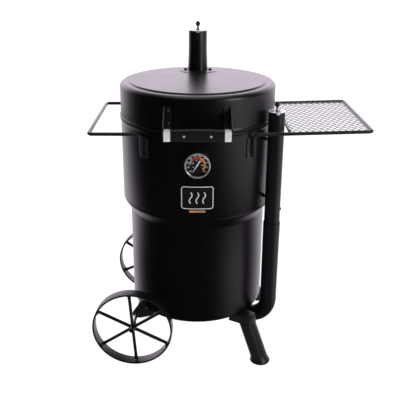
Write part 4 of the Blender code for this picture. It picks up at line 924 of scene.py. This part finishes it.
# Strand n runs along y as x = n p + a tri(y), where tri swings between -1 and 1 each slot length,
# and its neighbour swings the other way, so that the two touch at the knuckles.
def makeShelfMesh():
    low, high = boxOf("shelf_mesh")
    pitch = shelfMesh["slotWidth"] / 2
    width = high[0] - low[0] - 0.004
    count = int(round(width / pitch))
    pitch = width / count
    period = shelfMesh["slotLength"]
    samples = 12
    y = np.arange(low[1] + 0.001, high[1] - 0.001, period / samples)
    phase = (y - low[1]) / period * 2 * np.pi
    swing = np.clip(np.cos(phase) * 1.35, -1, 1) * (pitch / 2 - shelfMesh["strand"] * 0.42)
    surfaces = []
    corner = rods["corner"] - rods["radius"]
    for index in range(count + 1):
        sign = 1 if index % 2 else -1
        x = low[0] + 0.002 + pitch * index + sign * swing
        x = np.clip(x, low[0] + 0.0012, high[0] - 0.0012)
        # The deck's outer corners are round, so a strand there stops where it meets the frame.
        overX = np.clip(x - (high[0] - corner), 0, corner)
        reach = (high[1] - low[1]) / 2 - corner + np.sqrt(np.maximum(corner ** 2 - overX ** 2, 0))
        keep = np.abs(y - (low[1] + high[1]) / 2) <= reach
        x, here = x[keep], y[keep]
        height = shelfLevel + np.maximum(x - shelfNear - rods["bend"], 0) * shelfTilt
        height = height + sign * shelfMesh["rise"] * 0.35 * np.cos(phase[keep])
        path = np.column_stack([x, here, height])
        surfaces.append(bar(path, shelfMesh["strand"] / 2, 6, 0.0003, flat=0.8))
    edge = softPath([(low[0] + 0.001, low[1] + 0.001, 0), (high[0] - 0.001, low[1] + 0.001, 0), (high[0]
        - 0.001, high[1] - 0.001, 0), (low[0] + 0.001, high[1] - 0.001, 0)], [corner, corner], 12)
    edge[:, 2] = shelfLevel + np.maximum(edge[:, 0] - shelfNear - rods["bend"], 0) * shelfTilt
    surfaces.append(bar(edge, 0.0011, 8, 0.0003))
    makePiece("shelfMeshSheet", together(*surfaces), "shelfCoat", "shelf_mesh", smooth=50)


makeShelfMesh()
print("shelf mesh made")


# A turned case with a printed dial, coloured arcs, a needle and a domed glass.
gauge = {"ticks": 46, "startAngle": -135, "endAngle": 135, "lowest": 100, "highest": 550,
    "numberSize": 0.0062, "arcRadii": (0.0203, 0.0271), "restTurn": 149}


# Marks lie on the dial, whose own x is to the right and y is up, and z comes towards the reader.
def onDial(surface, height=0.0):
    centre = middleOf("gauge_dial")
    face = boxOf("gauge_dial")[0][1]
    return framed(surface[0], (1, 0, 0), (0, 0, 1), (0, -1, 0), (centre[0], face - height,
        centre[2])), surface[1]


# An arc band between two radii, over clock angles in degrees from twelve.
def dialArc(innerRadius, outerRadius, start, end, thick=0.00025, steps=40):
    angle = np.radians(90 - np.linspace(start, end, steps))
    loops = [(innerRadius, 0), (innerRadius, thick), (outerRadius, thick), (outerRadius, 0)]
    grid = np.stack([np.column_stack([r * np.cos(angle), r * np.sin(angle), 0 * angle + z]) for r,
        z in loops])
    body = gridSurface(grid, alongClosed=True, acrossClosed=False)
    first = (grid[:, 0], np.array([[0, 1, 2, 3]]))
    last = (grid[:, -1], np.array([[3, 2, 1, 0]]))
    return outward(together(body, first, last))


def dialTick(clock, innerRadius, outerRadius, width, thick=0.00025):
    return dialArc(innerRadius, outerRadius, clock - math.degrees(width / outerRadius) / 2, clock
        + math.degrees(width / outerRadius) / 2, thick, 3)


def makeDialNumbers():
    span = gauge["endAngle"] - gauge["startAngle"]
    outer = range(gauge["lowest"], gauge["highest"] + 1, 50)
    places = [(value, (value - gauge["lowest"]) / (gauge["highest"] - gauge["lowest"]), 0.0312, 1.0)
        for value in outer]
    places += [(value, (value * 1.8 + 32 - gauge["lowest"]) / (gauge["highest"] - gauge["lowest"]), 0.0155,
        0.7) for value in range(50, 280, 50)]
    made = []
    for value, share, ringAt, scale in places:
        clock = math.radians(90 - (gauge["startAngle"] + span * share))
        curve = bpy.data.curves.new(f"number{value}", "FONT")
        curve.body = str(value)
        curve.size = gauge["numberSize"] * scale
        curve.extrude = 0.0001
        curve.offset = 0.00012
        curve.align_x = "CENTER"
        curve.align_y = "CENTER"
        curve.resolution_u = 3
        source = bpy.data.objects.new(f"number{value}", curve)
        bpy.context.scene.collection.objects.link(source)
        bpy.context.view_layer.update()
        mesh = bpy.data.meshes.new_from_object(source.evaluated_get(bpy.context.evaluated_depsgraph_get()))
        points = np.empty(len(mesh.vertices) * 3)
        mesh.vertices.foreach_get("co", points)
        mesh.calc_loop_triangles()
        faces = np.empty(len(mesh.loop_triangles) * 3, int)
        mesh.loop_triangles.foreach_get("vertices", faces)
        bpy.data.objects.remove(source, do_unlink=True)
        points = points.reshape(-1, 3) + (ringAt * math.cos(clock), ringAt * math.sin(clock), 0.0001)
        faces = faces.reshape(-1, 3)
        made.append((points, np.column_stack([faces, faces[:, 2]])))
    return together(*made)


def makeGauge():
    centre = middleOf("gauge_dial")
    caseLow, caseHigh = boxOf("gauge_case")
    radius = (caseHigh[0] - caseLow[0]) / 2
    back = drumAxis[1] - drum["wallRadius"]
    place = (centre[0], back, centre[2])
    front = back - caseLow[1]
    stem = caseHigh[1] - back
    bezel = arcPoints((radius - 0.0026, front - 0.0026), 0.0026, 150, 0, 12)
    profile = np.concatenate([[(0, 0.0072), (radius - 0.0026, 0.0072), (radius - 0.0030, front - 0.0045)],
        bezel, [(radius, 0.009), (radius - 0.0012, 0.0066), (radius - 0.004, 0.0052), (0.0105, 0.0050),
        (0.0105, 0.0008), (0.0034, 0.0008), (0.0034, -stem + 0.004), (0.0016, -stem), (0, -stem)]])
    case = aimed(turned(profile, 112), place, (0, -1, 0))
    makePiece("gaugeCase", case, "chromePlate", "gauge_case")
    ringCollar = turned([(0.0150, 0.0014), (0.0156, 0.0010), (0.0150, 0.0002), (0.0108, 0.0002), (0.0108,
        0.0014)], 48)
    makePiece("gaugeWasher", aimed(ringCollar, place, (0, -1, 0)), "screwZinc")
    dialRadius = radius - 0.0031
    dialPlace = (centre[0], boxOf("gauge_dial")[1][1], centre[2])
    dial = turned([(0, 0.0010), (dialRadius - 0.0004, 0.0010), (dialRadius, 0.0007), (dialRadius, 0), (0, 0)],
        96)
    makePiece("gaugeDial", aimed(dial, dialPlace, (0, -1, 0)), "dialPrint", "gauge_dial")
    span = gauge["endAngle"] - gauge["startAngle"]
    ticks = []
    for index in range(gauge["ticks"]):
        clock = gauge["startAngle"] + span * index / (gauge["ticks"] - 1)
        long = index % 5 == 0
        ticks.append(dialTick(clock, 0.0350 if long else 0.0358, 0.0368, 0.0008 if long else 0.0005))
    makePiece("gaugeTicks", onDial(together(*ticks)), "markWhite")
    makePiece("gaugeNumbers", onDial(makeDialNumbers()), "markWhite")
    arcs = (("Cool", -90, -43, "markBlue"), ("Hot", -41, 20, "markRed"), ("Warm", 20, 134, "markOrange"))
    for name, start, end, finish in arcs:
        makePiece(f"gaugeArc{name}", onDial(dialArc(*gauge["arcRadii"], start, end)), finish)
    makeNeedle()
    lensLow, lensHigh = boxOf("gauge_lens")
    lensRadius = (lensHigh[0] - lensLow[0]) / 2
    reach = np.linspace(0, lensRadius, 12)
    crown = 0.0011 * (1 - (reach / lensRadius) ** 2)
    glass = np.concatenate([np.column_stack([reach, 0.0012 + crown]), np.column_stack([reach[::-1],
        crown[::-1]])])
    makePiece("gaugeGlass", aimed(turned(glass, 96), (centre[0], lensHigh[1], centre[2]), (0, -1, 0)),
        "gaugeGlass", "gauge_lens")


# The needle tapers from its hub to a point on one side and to a short paddle on the other.
def makeNeedle():
    place = jointPlace("gauge_needle_turn")
    way = math.radians(90 + gauge["restTurn"])
    direction = np.array([math.cos(way), math.sin(way)])
    across = np.array([-direction[1], direction[0]])
    along = np.array([-0.0180, -0.0172, -0.008, 0.0, 0.012, 0.0300])
    half = np.array([0.0013, 0.0017, 0.0017, 0.0021, 0.0014, 0.0004])
    left = along[:, None] * direction + half[:, None] * across
    right = along[:, None] * direction - half[:, None] * across
    bladePlate = plate(np.concatenate([left, right[::-1]]), 0.0005, 0.0001)
    cap = turned([(0, 0.0017), (0.0022, 0.0015), (0.0031, 0.0009), (0.0031, 0), (0, 0)], 32)
    height = boxOf("gauge_dial")[0][1] - place[1] - 0.0002
    needle = onDial(bladePlate, height)
    makePiece("gaugeNeedle", needle, "markWhite", "gauge_needle", body="needle")
    makePiece("gaugeNeedleCap", onDial(cap, height), "turnedSteel", body="needle")


makeGauge()
print("gauge made")


# A plain plaque with a raised border, three wavy heat lines and a gold strip below.
badge = {"corner": 0.012, "border": 0.0026, "thick": 0.0014}


def makeBadge():
    low, high = boxOf("badge_plate")
    width, height = high[0] - low[0] + 0.0008, high[2] - low[2]
    centreZ = (low[2] + high[2]) / 2
    radius = drum["wallRadius"] + 0.0003
    base = plate(gridOutline(width, height, badge["corner"], 21), badge["thick"], 0.0004)
    makePiece("badgePlaque", wrapped(base, radius, 0, centreZ), "badgeField", "badge_plate")
    outer = gridOutline(width - 0.006, height - 0.006, badge["corner"] - 0.003, 21)
    inner = gridOutline(width - 0.006 - 2 * badge["border"], height - 0.006 - 2 * badge["border"],
        badge["corner"] - 0.003 - badge["border"], 21)
    border = plate(outer, 0.0022, 0.0004, hole=inner)
    reliefs = [wrapped(border, radius, 0, centreZ)]
    for index in range(3):
        rise = np.linspace(-0.020, 0.020, 40)
        sway = (index - 1) * 0.022 + 0.0045 * np.sin(rise / 0.040 * 2 * np.pi)
        line = bar(np.column_stack([sway, rise, 0 * rise + badge["thick"]]), 0.0019, 10, 0.0008, lean=(1, 0,
            0))
        reliefs.append(wrapped(line, radius, 0, centreZ))
    makePiece("badgeRelief", together(*reliefs), "badgeRelief")
    strip = plate(gridOutline(0.054, 0.0068, 0.002, 13), 0.0016, 0.0004)
    makePiece("badgeStrip", wrapped(strip, radius, 0, low[2] - 0.0058), "badgeGold")


makeBadge()
print("badge made")


# Flared tubes in teardrop brackets, with a rubber foot.
legs = {"radius": 0.0315, "topReach": 0.262, "footReach": 0.331, "flare": 0.0035, "groove": 0.0022}


def makeLegs():
    for label in ("front", "rear"):
        foot = middleOf(f"leg_{label}_foot")
        legLow, legHigh = boxOf(f"leg_{label}")
        out = (foot - drumAxis) * (1, 1, 0)
        way = unit(out)
        side = np.cross((0, 0, 1), way)
        share = np.concatenate([[0, 0], np.linspace(0, 1, 40), [1, 1]])
        reach = legs["footReach"] + (legs["topReach"] - legs["footReach"]) * share
        height = legLow[2] + (legHigh[2] - legLow[2]) * share
        size = legs["radius"] + legs["flare"] * np.exp(-share / 0.035)
        size[[0, -1]] = 0
        angle = np.linspace(0, 2 * np.pi, 96, endpoint=False)
        # A shallow groove is pressed down the outer side, and fades before each end.
        press = np.exp(-((np.angle(np.exp(1j * (angle + 0.35)))) / 0.16) ** 2)
        fade = np.clip((share - 0.04) / 0.1, 0, 1) * np.clip((1 - share) / 0.05, 0, 1)
        radius = size[:, None] - legs["groove"] * fade[:, None] * press[None]
        centres = drumAxis + reach[:, None] * way + height[:, None] * np.array([0, 0, 1])
        grid = centres[:, None] + radius[..., None] * (np.cos(angle)[None, :, None] * way
            + np.sin(angle)[None, :, None] * side)
        makePiece(f"leg{label.title()}Tube", outward(gridSurface(grid)), "frameCoat", f"leg_{label}")
        footLow, footHigh = boxOf(f"leg_{label}_foot")
        footRadius = (footHigh[0] - footLow[0]) / 2
        tall = footHigh[2] - footLow[2]
        profile = [(0, tall), (0.0325, tall), (footRadius - 0.0016, tall * 0.75), (footRadius, tall * 0.4),
            (footRadius - 0.0006, tall * 0.12), (footRadius - 0.0022, 0), (footRadius * 0.6, 0), (footRadius
            * 0.55, 0.0012), (0, 0.0012)]
        makePiece(f"leg{label.title()}Foot", moved(turned(profile, 64), foot * (1, 1, 0)), "footRubber",
            f"leg_{label}_foot")
        makeLegBracket(label, way, side)


# The bracket: a teardrop lid over the leg with a turned-down skirt, its top edge rolled over.
def makeLegBracket(label, way, side):
    low, high = boxOf(f"leg_{label}_bracket")
    turnSide = -1 if label == "front" else 1
    topReach = legs["topReach"]
    nose = arcPoints((topReach, 0), 0.0335, turnSide * 62, turnSide * -62, 22)
    root = np.array([(0.214, -turnSide * 0.017), (0.214, turnSide * 0.050)])
    cornerA = softPath([(topReach, -turnSide * 0.0290), root[0], root[1], (topReach, turnSide * 0.0290)],
        [0.004, 0.004], 6)[1:-1]
    loop = np.concatenate([nose, cornerA])
    centre = loop.mean(0)
    tall = high[2] - low[2]
    inward = unit(centre - loop)
    sections = [(0.004, tall), (0.0012, tall - 0.0012), (0, tall - 0.004), (0, 0.0035), (-0.0012, 0.0018),
        (-0.0012, 0), (0.0016, 0), (0.0016, 0.006)]
    rings = [lifted(loop + inward * inset, low[2] + height) for inset, height in sections]
    closing = [lifted(np.repeat(centre[None], len(loop), 0), low[2] + height) for height in (tall, 0.006)]
    grid = np.stack([closing[0], *rings, closing[1]])
    placed = framed(grid, way, side, (0, 0, 1), drumAxis)
    makePiece(f"leg{label.title()}Bracket", outward(gridSurface(placed)), "frameCoat", f"leg_{label}_bracket")


makeLegs()
print("legs made")


# A flat rim, six bars with turned ends bolted inside it, and a turned hub.
wheels = {"rimThick": 0.0064, "halfWidth": 0.0185, "rodRadius": 0.0055, "tabWidth": 0.0135,
    "tabThick": 0.0030, "tabLength": 0.0155, "hubRadius": 0.0112, "start": {"front": 34, "rear": 26}}


# A spoke is a round rod, pressed flat near its end and turned forward along the rim.
# In its section the half-width eases from the rod's radius to the tab's, and the half-thickness shrinks.
def makeSpoke(inner):
    lie = inner - wheels["tabThick"] / 2 - 0.0003
    bend = softPath([(0.006, 0, 0), (lie, 0, 0), (lie, 0, wheels["tabLength"])], [0.006], 8)
    straight = np.linspace(0, 1, 14)[:-1, None] * (bend[1] - bend[0]) + bend[0]
    path = np.concatenate([straight, bend[1:]])
    tangent = tangentsOf(path)
    normal = np.column_stack([-tangent[:, 2], 0 * tangent[:, 0], tangent[:, 0]])
    press = np.clip((path[:, 0] - (inner - 0.026)) / 0.014, 0, 1)
    press = press * press * (3 - 2 * press)
    halfWide = wheels["rodRadius"] + (wheels["tabWidth"] / 2 - wheels["rodRadius"]) * press
    halfThick = wheels["rodRadius"] + (wheels["tabThick"] / 2 - wheels["rodRadius"]) * press
    section = softSection(1, 1, 2.6, 20)
    ring = path[:, None] + normal[:, None] * (section[:, 1] * halfThick[:, None])[..., None]
    ring = ring + np.array([0, 1, 0]) * (section[:, 0] * halfWide[:, None])[..., None]
    ends = np.repeat(path[[0, -1]][:, None], 20, 1)
    return np.concatenate([ends[:1], ring, ends[1:]])


def makeWheel(label):
    place, axis = jointPlace(f"wheel_{label}_spin"), jointAxis(f"wheel_{label}_spin")
    rimLow, rimHigh = boxOf(f"wheel_{label}_rim")
    radius = (rimHigh[2] - rimLow[2]) / 2
    half, edge = wheels["halfWidth"], 0.0009
    inner = radius - wheels["rimThick"]
    section = np.concatenate([arcPoints((radius - edge, half - edge), edge, 90, 0, 5), arcPoints((radius
        - edge, -half + edge), edge, 0, -90, 5), arcPoints((inner + edge, -half + edge), edge, -90, -180, 5),
        arcPoints((inner + edge, half - edge), edge, 180, 90, 5)])
    body, title = f"wheel_{label}", label.title()
    makePiece(f"wheel{title}Rim", aimed(turned(section, 144), place, axis), "wheelCoat", f"wheel_{label}_rim",
        body=body)
    right = np.array([abs(axis[1]), -abs(axis[0]), 0])
    up = np.array([0, 0, 1.0])
    spoke = makeSpoke(inner)
    rods, bolts = [], []
    for index in range(6):
        turnTo = math.radians(wheels["start"][label] + 60 * index)
        outWay = math.cos(turnTo) * right + math.sin(turnTo) * up
        acrossWay = -math.sin(turnTo) * right + math.cos(turnTo) * up
        placed = framed(spoke, outWay, acrossWay, axis, place)
        rods.append(outward(gridSurface(placed)))
        boltPlace = place + outWay * (inner - wheels["tabThick"] - 0.0002) + axis * (wheels["tabLength"]
            * 0.6)
        bolts.append(screwHead(0.0040, 0.0026, boltPlace, -outWay))
    hubRadius = wheels["hubRadius"]
    hub = turned([(0.0066, 0.0183), (hubRadius - 0.0008, 0.0183), (hubRadius, 0.0175), (hubRadius, -0.0212),
        (hubRadius - 0.0008, -0.0220), (0.0066, -0.0220)], 48)
    makePiece(f"wheel{title}Spokes", together(*rods), "wheelCoat", f"wheel_{label}_spokes", body=body)
    makePiece(f"wheel{title}Hub", aimed(hub, place, axis), "wheelCoat", body=body)
    makePiece(f"wheel{title}Bolts", together(*bolts), "darkSteel", body=body)
    cap = turned([(0, 0.0022), (0.0070, 0.0021), (0.0088, 0.0013), (0.0096, 0.0), (0.0096, -0.0022), (0.0,
        -0.0022)], 40)
    makePiece(f"axleCap{title}", aimed(cap, middleOf(f"axle_cap_{label}"), axis), "darkSteel",
        f"axle_cap_{label}")


def makeAxle():
    front, rear = jointPlace("wheel_front_spin"), jointPlace("wheel_rear_spin")
    way = unit(rear - front)
    length = np.linalg.norm(rear - front) / 2 + 0.0183
    centre = (front + rear) / 2
    stations = np.linspace(-length, length, 24)
    axle = bar(centre + stations[:, None] * way, 0.0060, 28, 0.001)
    makePiece("axleRod", axle, "darkSteel", "axle", smooth=60)
    makeAxleBrackets(centre, way)


axleBracket = {"margin": 0.016, "reach": 0.172, "sheet": 0.0030, "drumRadius": 0.248, "plane": 0.1705,
    "drumCentre": 0.2147}


# The bracket's plate carries the axle and hugs the drum's bottom corner.
def makeAxleBrackets(centre, way):
    side = np.array([way[1], -way[0], 0])
    for sign, label in ((-1, "front"), (1, "rear")):
        wheelZ = centre[2]
        hug = axleBracket["drumCentre"] - math.sqrt(axleBracket["drumRadius"] ** 2
            - axleBracket["plane"] ** 2)
        under = boxOf("drum_lower_shell")[0][2] - 0.0004
        margin = axleBracket["margin"]
        # The notch follows the drum's rounded bottom edge, which this plane cuts as a quarter of an ellipse.
        quarter = np.radians(np.linspace(0, 90, 9))[:, None]
        notch = np.hstack([hug + 0.0155 * (1 - np.cos(quarter)), under + 0.011 * (1 - np.sin(quarter))])
        outline = [(-margin * 0.7, wheelZ - margin * 0.7), (-margin, wheelZ), (-margin * 0.8, wheelZ + margin
            * 0.7), (hug - margin, under + 0.036), (hug, under + 0.036), *map(tuple, notch), (0.095, under),
            (0.095, under - margin), (margin, wheelZ - margin), (0, wheelZ - margin)]
        radii = [0.004, 0.004, 0.004, 0.003, 0.0008] + [0.0005] * len(notch) + [0.003, 0.003, 0.004, 0.004]
        loop = roundOutline(outline, radii, 5)
        sheet = cutPlate([loop, circlePoints(0.0064, 32, (0, wheelZ))], axleBracket["sheet"])
        middle = (centre + way * (sign * axleBracket["reach"] - axleBracket["sheet"] / 2)) * (1, 1, 0)
        placed = framed(sheet[0], side, (0, 0, 1), way, middle)
        makePiece(f"axleBracket{label.title()}", outward((placed, sheet[1])), "frameCoat",
            f"axle_bracket_{label}")


for end in ("front", "rear"):
    makeWheel(end)
makeAxle()
print("wheels made")


# The rod grate, its hangers, the charcoal basket and the ash pan.
inside = {"rod": 0.0021, "ringRod": 0.0032, "rodPitch": 0.0150, "basketBars": 72, "basketHoops": 6}


def makeGrate():
    low, high = boxOf("cooking_grate")
    radius = (high[0] - low[0]) / 2 - 0.0004
    height = (low[2] + high[2]) / 2
    angle = np.linspace(0, 2 * np.pi, 160, endpoint=False)
    ringRadius = radius - inside["ringRod"]
    ring = np.column_stack([ringRadius * np.cos(angle), ringRadius * np.sin(angle), 0 * angle + height
        - 0.0004])
    surfaces = [bar(ring, inside["ringRod"] * 0.8, 12, closed=True)]
    count = int(ringRadius / inside["rodPitch"])
    for index in range(-count, count + 1):
        y = index * inside["rodPitch"]
        reach = math.sqrt(max(ringRadius ** 2 - y ** 2, 0))
        if reach > 0.02:
            x = np.linspace(-reach, reach, 10)
            rod = np.column_stack([x, 0 * x + y, 0 * x + height + 0.0004])
            surfaces.append(bar(rod, inside["rod"], 10, 0.0004))
    for x in (-0.13, 0.0, 0.13):
        reach = math.sqrt(ringRadius ** 2 - x ** 2)
        y = np.linspace(-reach, reach, 12)
        surfaces.append(bar(np.column_stack([0 * y + x, y, 0 * y + height - 0.0012]), 0.0013, 8, 0.0004))
    makePiece("cookingGrate", moved(together(*surfaces), drumAxis), "grateEnamel", "cooking_grate", smooth=60)


# A hanger is a folded strip: a leg up the wall and a ledge under the grate.
def makeHangers():
    for index in (1, 2, 3):
        node = f"grate_hanger_{index}"
        centre = middleOf(node)
        top = boxOf(node)[1][2]
        out = (centre - drumAxis) * (1, 1, 0)
        way = unit(out)
        side = np.cross((0, 0, 1), way)
        reach = np.linalg.norm(out)
        bend = softPath([(reach - 0.0110, 0, top - 0.0012), (reach + 0.0096, 0, top - 0.0012), (reach
            + 0.0096, 0, top - 0.030)], [0.003], 8)
        tangent = tangentsOf(bend)
        normal = np.column_stack([-tangent[:, 2], 0 * tangent[:, 0], tangent[:, 0]])
        corner = np.array([(-1, -0.6), (-0.9, -1), (0.9, -1), (1, -0.6), (1, 0.6), (0.9, 1), (-0.9, 1), (-1,
            0.6)])
        ring = bend[:, None] + normal[:, None] * (corner[:, 1] * 0.0011)[None, :, None]
        ring = ring + np.array([0, 1, 0]) * (corner[:, 0] * 0.0095)[None, :, None]
        ends = np.repeat(bend[[0, -1]][:, None], 8, 1)
        ring = np.concatenate([ends[:1], ring, ends[1:]])
        placed = framed(ring, way, side, (0, 0, 1), drumAxis)
        makePiece(f"grateHanger{index}", outward(gridSurface(placed)), "darkSteel", node)


def makeBasket():
    low, high = boxOf("charcoal_basket")
    radius = (high[0] - low[0]) / 2 - 0.002
    angle = np.linspace(0, 2 * np.pi, 120, endpoint=False)
    surfaces = []
    for level in np.linspace(low[2] + 0.004, high[2] - 0.003, inside["basketHoops"]):
        hoop = np.column_stack([radius * np.cos(angle), radius * np.sin(angle), 0 * angle + level])
        surfaces.append(bar(hoop, 0.0017, 8, closed=True))
    for index in range(inside["basketBars"]):
        turnTo = 2 * np.pi * index / inside["basketBars"]
        z = np.linspace(low[2] + 0.003, high[2] - 0.003, 6)
        post = np.column_stack([0 * z + (radius - 0.0018) * math.cos(turnTo), 0 * z + (radius - 0.0018)
            * math.sin(turnTo), z])
        surfaces.append(bar(post, 0.0012, 6, 0.0003, lean=(1, 0, 0)))
    floorDisc = turned([(0, 0.0015), (radius - 0.003, 0.0015), (radius - 0.003, 0), (0, 0)], 96)
    surfaces.append(moved(floorDisc, (0, 0, low[2] + 0.0005)))
    makePiece("charcoalBasket", moved(together(*surfaces), drumAxis), "basketSteel", "charcoal_basket",
        smooth=60)


def makeAshPan():
    low, high = boxOf("ash_pan")
    radius = (high[0] - low[0]) / 2
    bottom = high[2] - 0.035
    inset = radius - 0.00875
    outer = np.concatenate([arcPoints((radius - 0.0012, high[2] - 0.0012), 0.0012, 180, -20, 8),
        arcPoints((inset - 0.003, bottom + 0.004), 0.004, -15, -90, 6), [(0, bottom)]])
    inner = [(0, bottom + 0.0016), (inset - 0.004, bottom + 0.0016), (inset - 0.0005, bottom + 0.005), (radius
        - 0.0030, high[2] - 0.003)]
    pan = turned(np.concatenate([outer, inner]), 112)
    feet = [moved(turned([(0, 0.0325), (0.0078, 0.0325), (0.0078, 0.003), (0.0066, 0.0008), (0.0050, 0.0), (0,
        0)], 28), (0.130 * math.cos(a), 0.130 * math.sin(a), low[2])) for a in np.radians([0, 120, 240])]
    makePiece("ashPan", moved(together(pan, *feet), drumAxis), "grateEnamel", "ash_pan")


makeGrate()
makeHangers()
makeBasket()
makeAshPan()
print("inside made")


studio = {"floorSize": 40.0, "floorTone": 0.40, "glow": 0.95, "backdrop": 1.5, "highBackdrop": 2.65,
    "panel": 0.8, "panelTurn": 80, "room": 0.006, "backFade": (0.26, 0.80), "highFade": (0.85, 0.35),
    "riseFade": (-0.02, 0.12), "panelFade": (0.60, 0.95), "panelUnder": (0.10, -0.20)}


# The floor is pale and gives off a little light, so that its shadows stay faint.
def makeFloorPlane():
    points = np.array([(-1, -1, 0), (1, -1, 0), (1, 1, 0), (-1, 1, 0)], float) * studio["floorSize"] / 2
    mesh = bpy.data.meshes.new("studioFloor")
    mesh.from_pydata((points - (0, 0, 0.0002)).tolist(), [], [(0, 1, 2, 3)])
    material = bpy.data.materials.new("paleFloor")
    material.use_nodes = True
    shader = material.node_tree.nodes["Principled BSDF"]
    tone = studio["floorTone"]
    shader.inputs["Base Color"].default_value = (tone, tone, tone, 1)
    shader.inputs["Roughness"].default_value = 0.9
    shader.inputs["Emission Color"].default_value = (1, 1, 1, 1)
    shader.inputs["Emission Strength"].default_value = studio["glow"]
    mesh.materials.append(material)
    floor = bpy.data.objects.new("studioFloor", mesh)
    floor.visible_glossy = False
    bpy.context.scene.collection.objects.link(floor)


# The room is dark, with a pale backdrop behind the object that fades out above the horizon.
# Its share is a smooth step in how far the direction points backwards, times one in how low it points.
def makeWorld():
    world = bpy.data.worlds.new("studioWorld")
    world.use_nodes = True
    add, link, shader = nodeMaker(world, "Background")

    def eased(source, start, end, least=0.0, most=1.0):
        node = add("ShaderNodeMapRange", interpolation_type="SMOOTHSTEP", **{"From Min": start,
            "From Max": end, "To Min": least, "To Max": most})
        link(source, node.inputs["Value"])
        return node.outputs["Result"]

    def combined(operation, first, second):
        node = add("ShaderNodeMath", operation=operation)
        link(first, node.inputs[0])
        link(second, node.inputs[1])
        return node.outputs["Value"]

    place = add("ShaderNodeTexCoord").outputs["Generated"]
    parts = add("ShaderNodeSeparateXYZ")
    link(place, parts.inputs["Vector"])
    ahead, up = parts.outputs["Y"], parts.outputs["Z"]
    level = add("ShaderNodeMapRange", **{"To Min": studio["room"]})
    share = combined("MULTIPLY", eased(ahead, *studio["backFade"]), eased(up, *studio["highFade"]))
    link(share, level.inputs["Value"])
    most = eased(up, *studio["riseFade"], studio["backdrop"], studio["highBackdrop"])
    link(most, level.inputs["To Max"])
    # A wide pale panel to the right lights the walls from low down: a smooth step in how far right it points.
    right = add("ShaderNodeVectorMath", operation="DOT_PRODUCT")
    right.inputs[1].default_value = wayAt(math.radians(studio["panelTurn"]))
    link(place, right.inputs[0])
    wide = eased(right.outputs["Value"], *studio["panelFade"], 0.0, studio["panel"])
    panel = combined("MULTIPLY", wide, eased(up, *studio["panelUnder"]))
    total = combined("ADD", level.outputs["Result"], panel)
    # The camera itself sees a plain white backdrop in every direction.
    seen = add("ShaderNodeLightPath").outputs["Is Camera Ray"]
    shown = add("ShaderNodeMix")
    link(seen, shown.inputs[0])
    link(total, shown.inputs[2])
    shown.inputs[3].default_value = 1.0
    link(shown.outputs[0], shader.inputs["Strength"])
    # What the coats reflect is faintly violet.
    tint = add("ShaderNodeMix", data_type="RGBA")
    link(seen, tint.inputs[0])
    tint.inputs[6].default_value = (1.0, 0.90, 1.02, 1)
    tint.inputs[7].default_value = (1, 1, 1, 1)
    link(tint.outputs[2], shader.inputs["Color"])
    bpy.context.scene.world = world
    bpy.context.scene.view_settings.view_transform = "Standard"


def addSoftbox(name, place, target, width, height, power):
    light = bpy.data.lights.new(name, "AREA")
    light.shape = "RECTANGLE"
    light.size, light.size_y = width, height
    light.energy = power
    holder = bpy.data.objects.new(name, light)
    holder.location = place
    holder.rotation_euler = (Vector(target) - Vector(place)).to_track_quat("-Z", "Y").to_euler()
    bpy.context.scene.collection.objects.link(holder)


strip = {"turn": 52, "reach": 2.2, "rise": 0.95, "size": (0.42, 1.2), "power": 13}
topLight = {"size": (3.0, 3.0), "power": 32}


def makeLights():
    centre = Vector((float(drumAxis[0]), float(drumAxis[1]), 0.6))
    across = Vector(wayAt(math.radians(strip["turn"]))) * strip["reach"]
    addSoftbox("rightStrip", centre + across + Vector((0, 0, strip["rise"])), centre, *strip["size"],
        strip["power"])
    addSoftbox("topSoftbox", centre + Vector((0, 0.3, 3.4)), centre, *topLight["size"], topLight["power"])


camera = {"focal": 1.5, "sensor": 36, "distance": 2.097, "height": 1.4277, "pitch": 19.66, "roll": -0.22,
    "shiftX": -0.0045, "shiftY": -0.084}


# The lens is the focal length in image widths times the sensor's width in millimetres.
def makeCamera():
    data = bpy.data.cameras.new("photoCamera")
    data.lens = camera["sensor"] * camera["focal"]
    data.sensor_width = camera["sensor"]
    data.shift_x = -camera["shiftX"]
    data.shift_y = camera["shiftY"]
    view = bpy.data.objects.new("photoCamera", data)
    view.location = drumAxis + (0, -camera["distance"], camera["height"])
    view.rotation_mode = "XYZ"
    view.rotation_euler = (math.radians(90 - camera["pitch"]), math.radians(camera["roll"]), 0)
    bpy.context.scene.collection.objects.link(view)
    bpy.context.scene.camera = view


makeFloorPlane()
makeWorld()
makeLights()
makeCamera()
print("studio made")
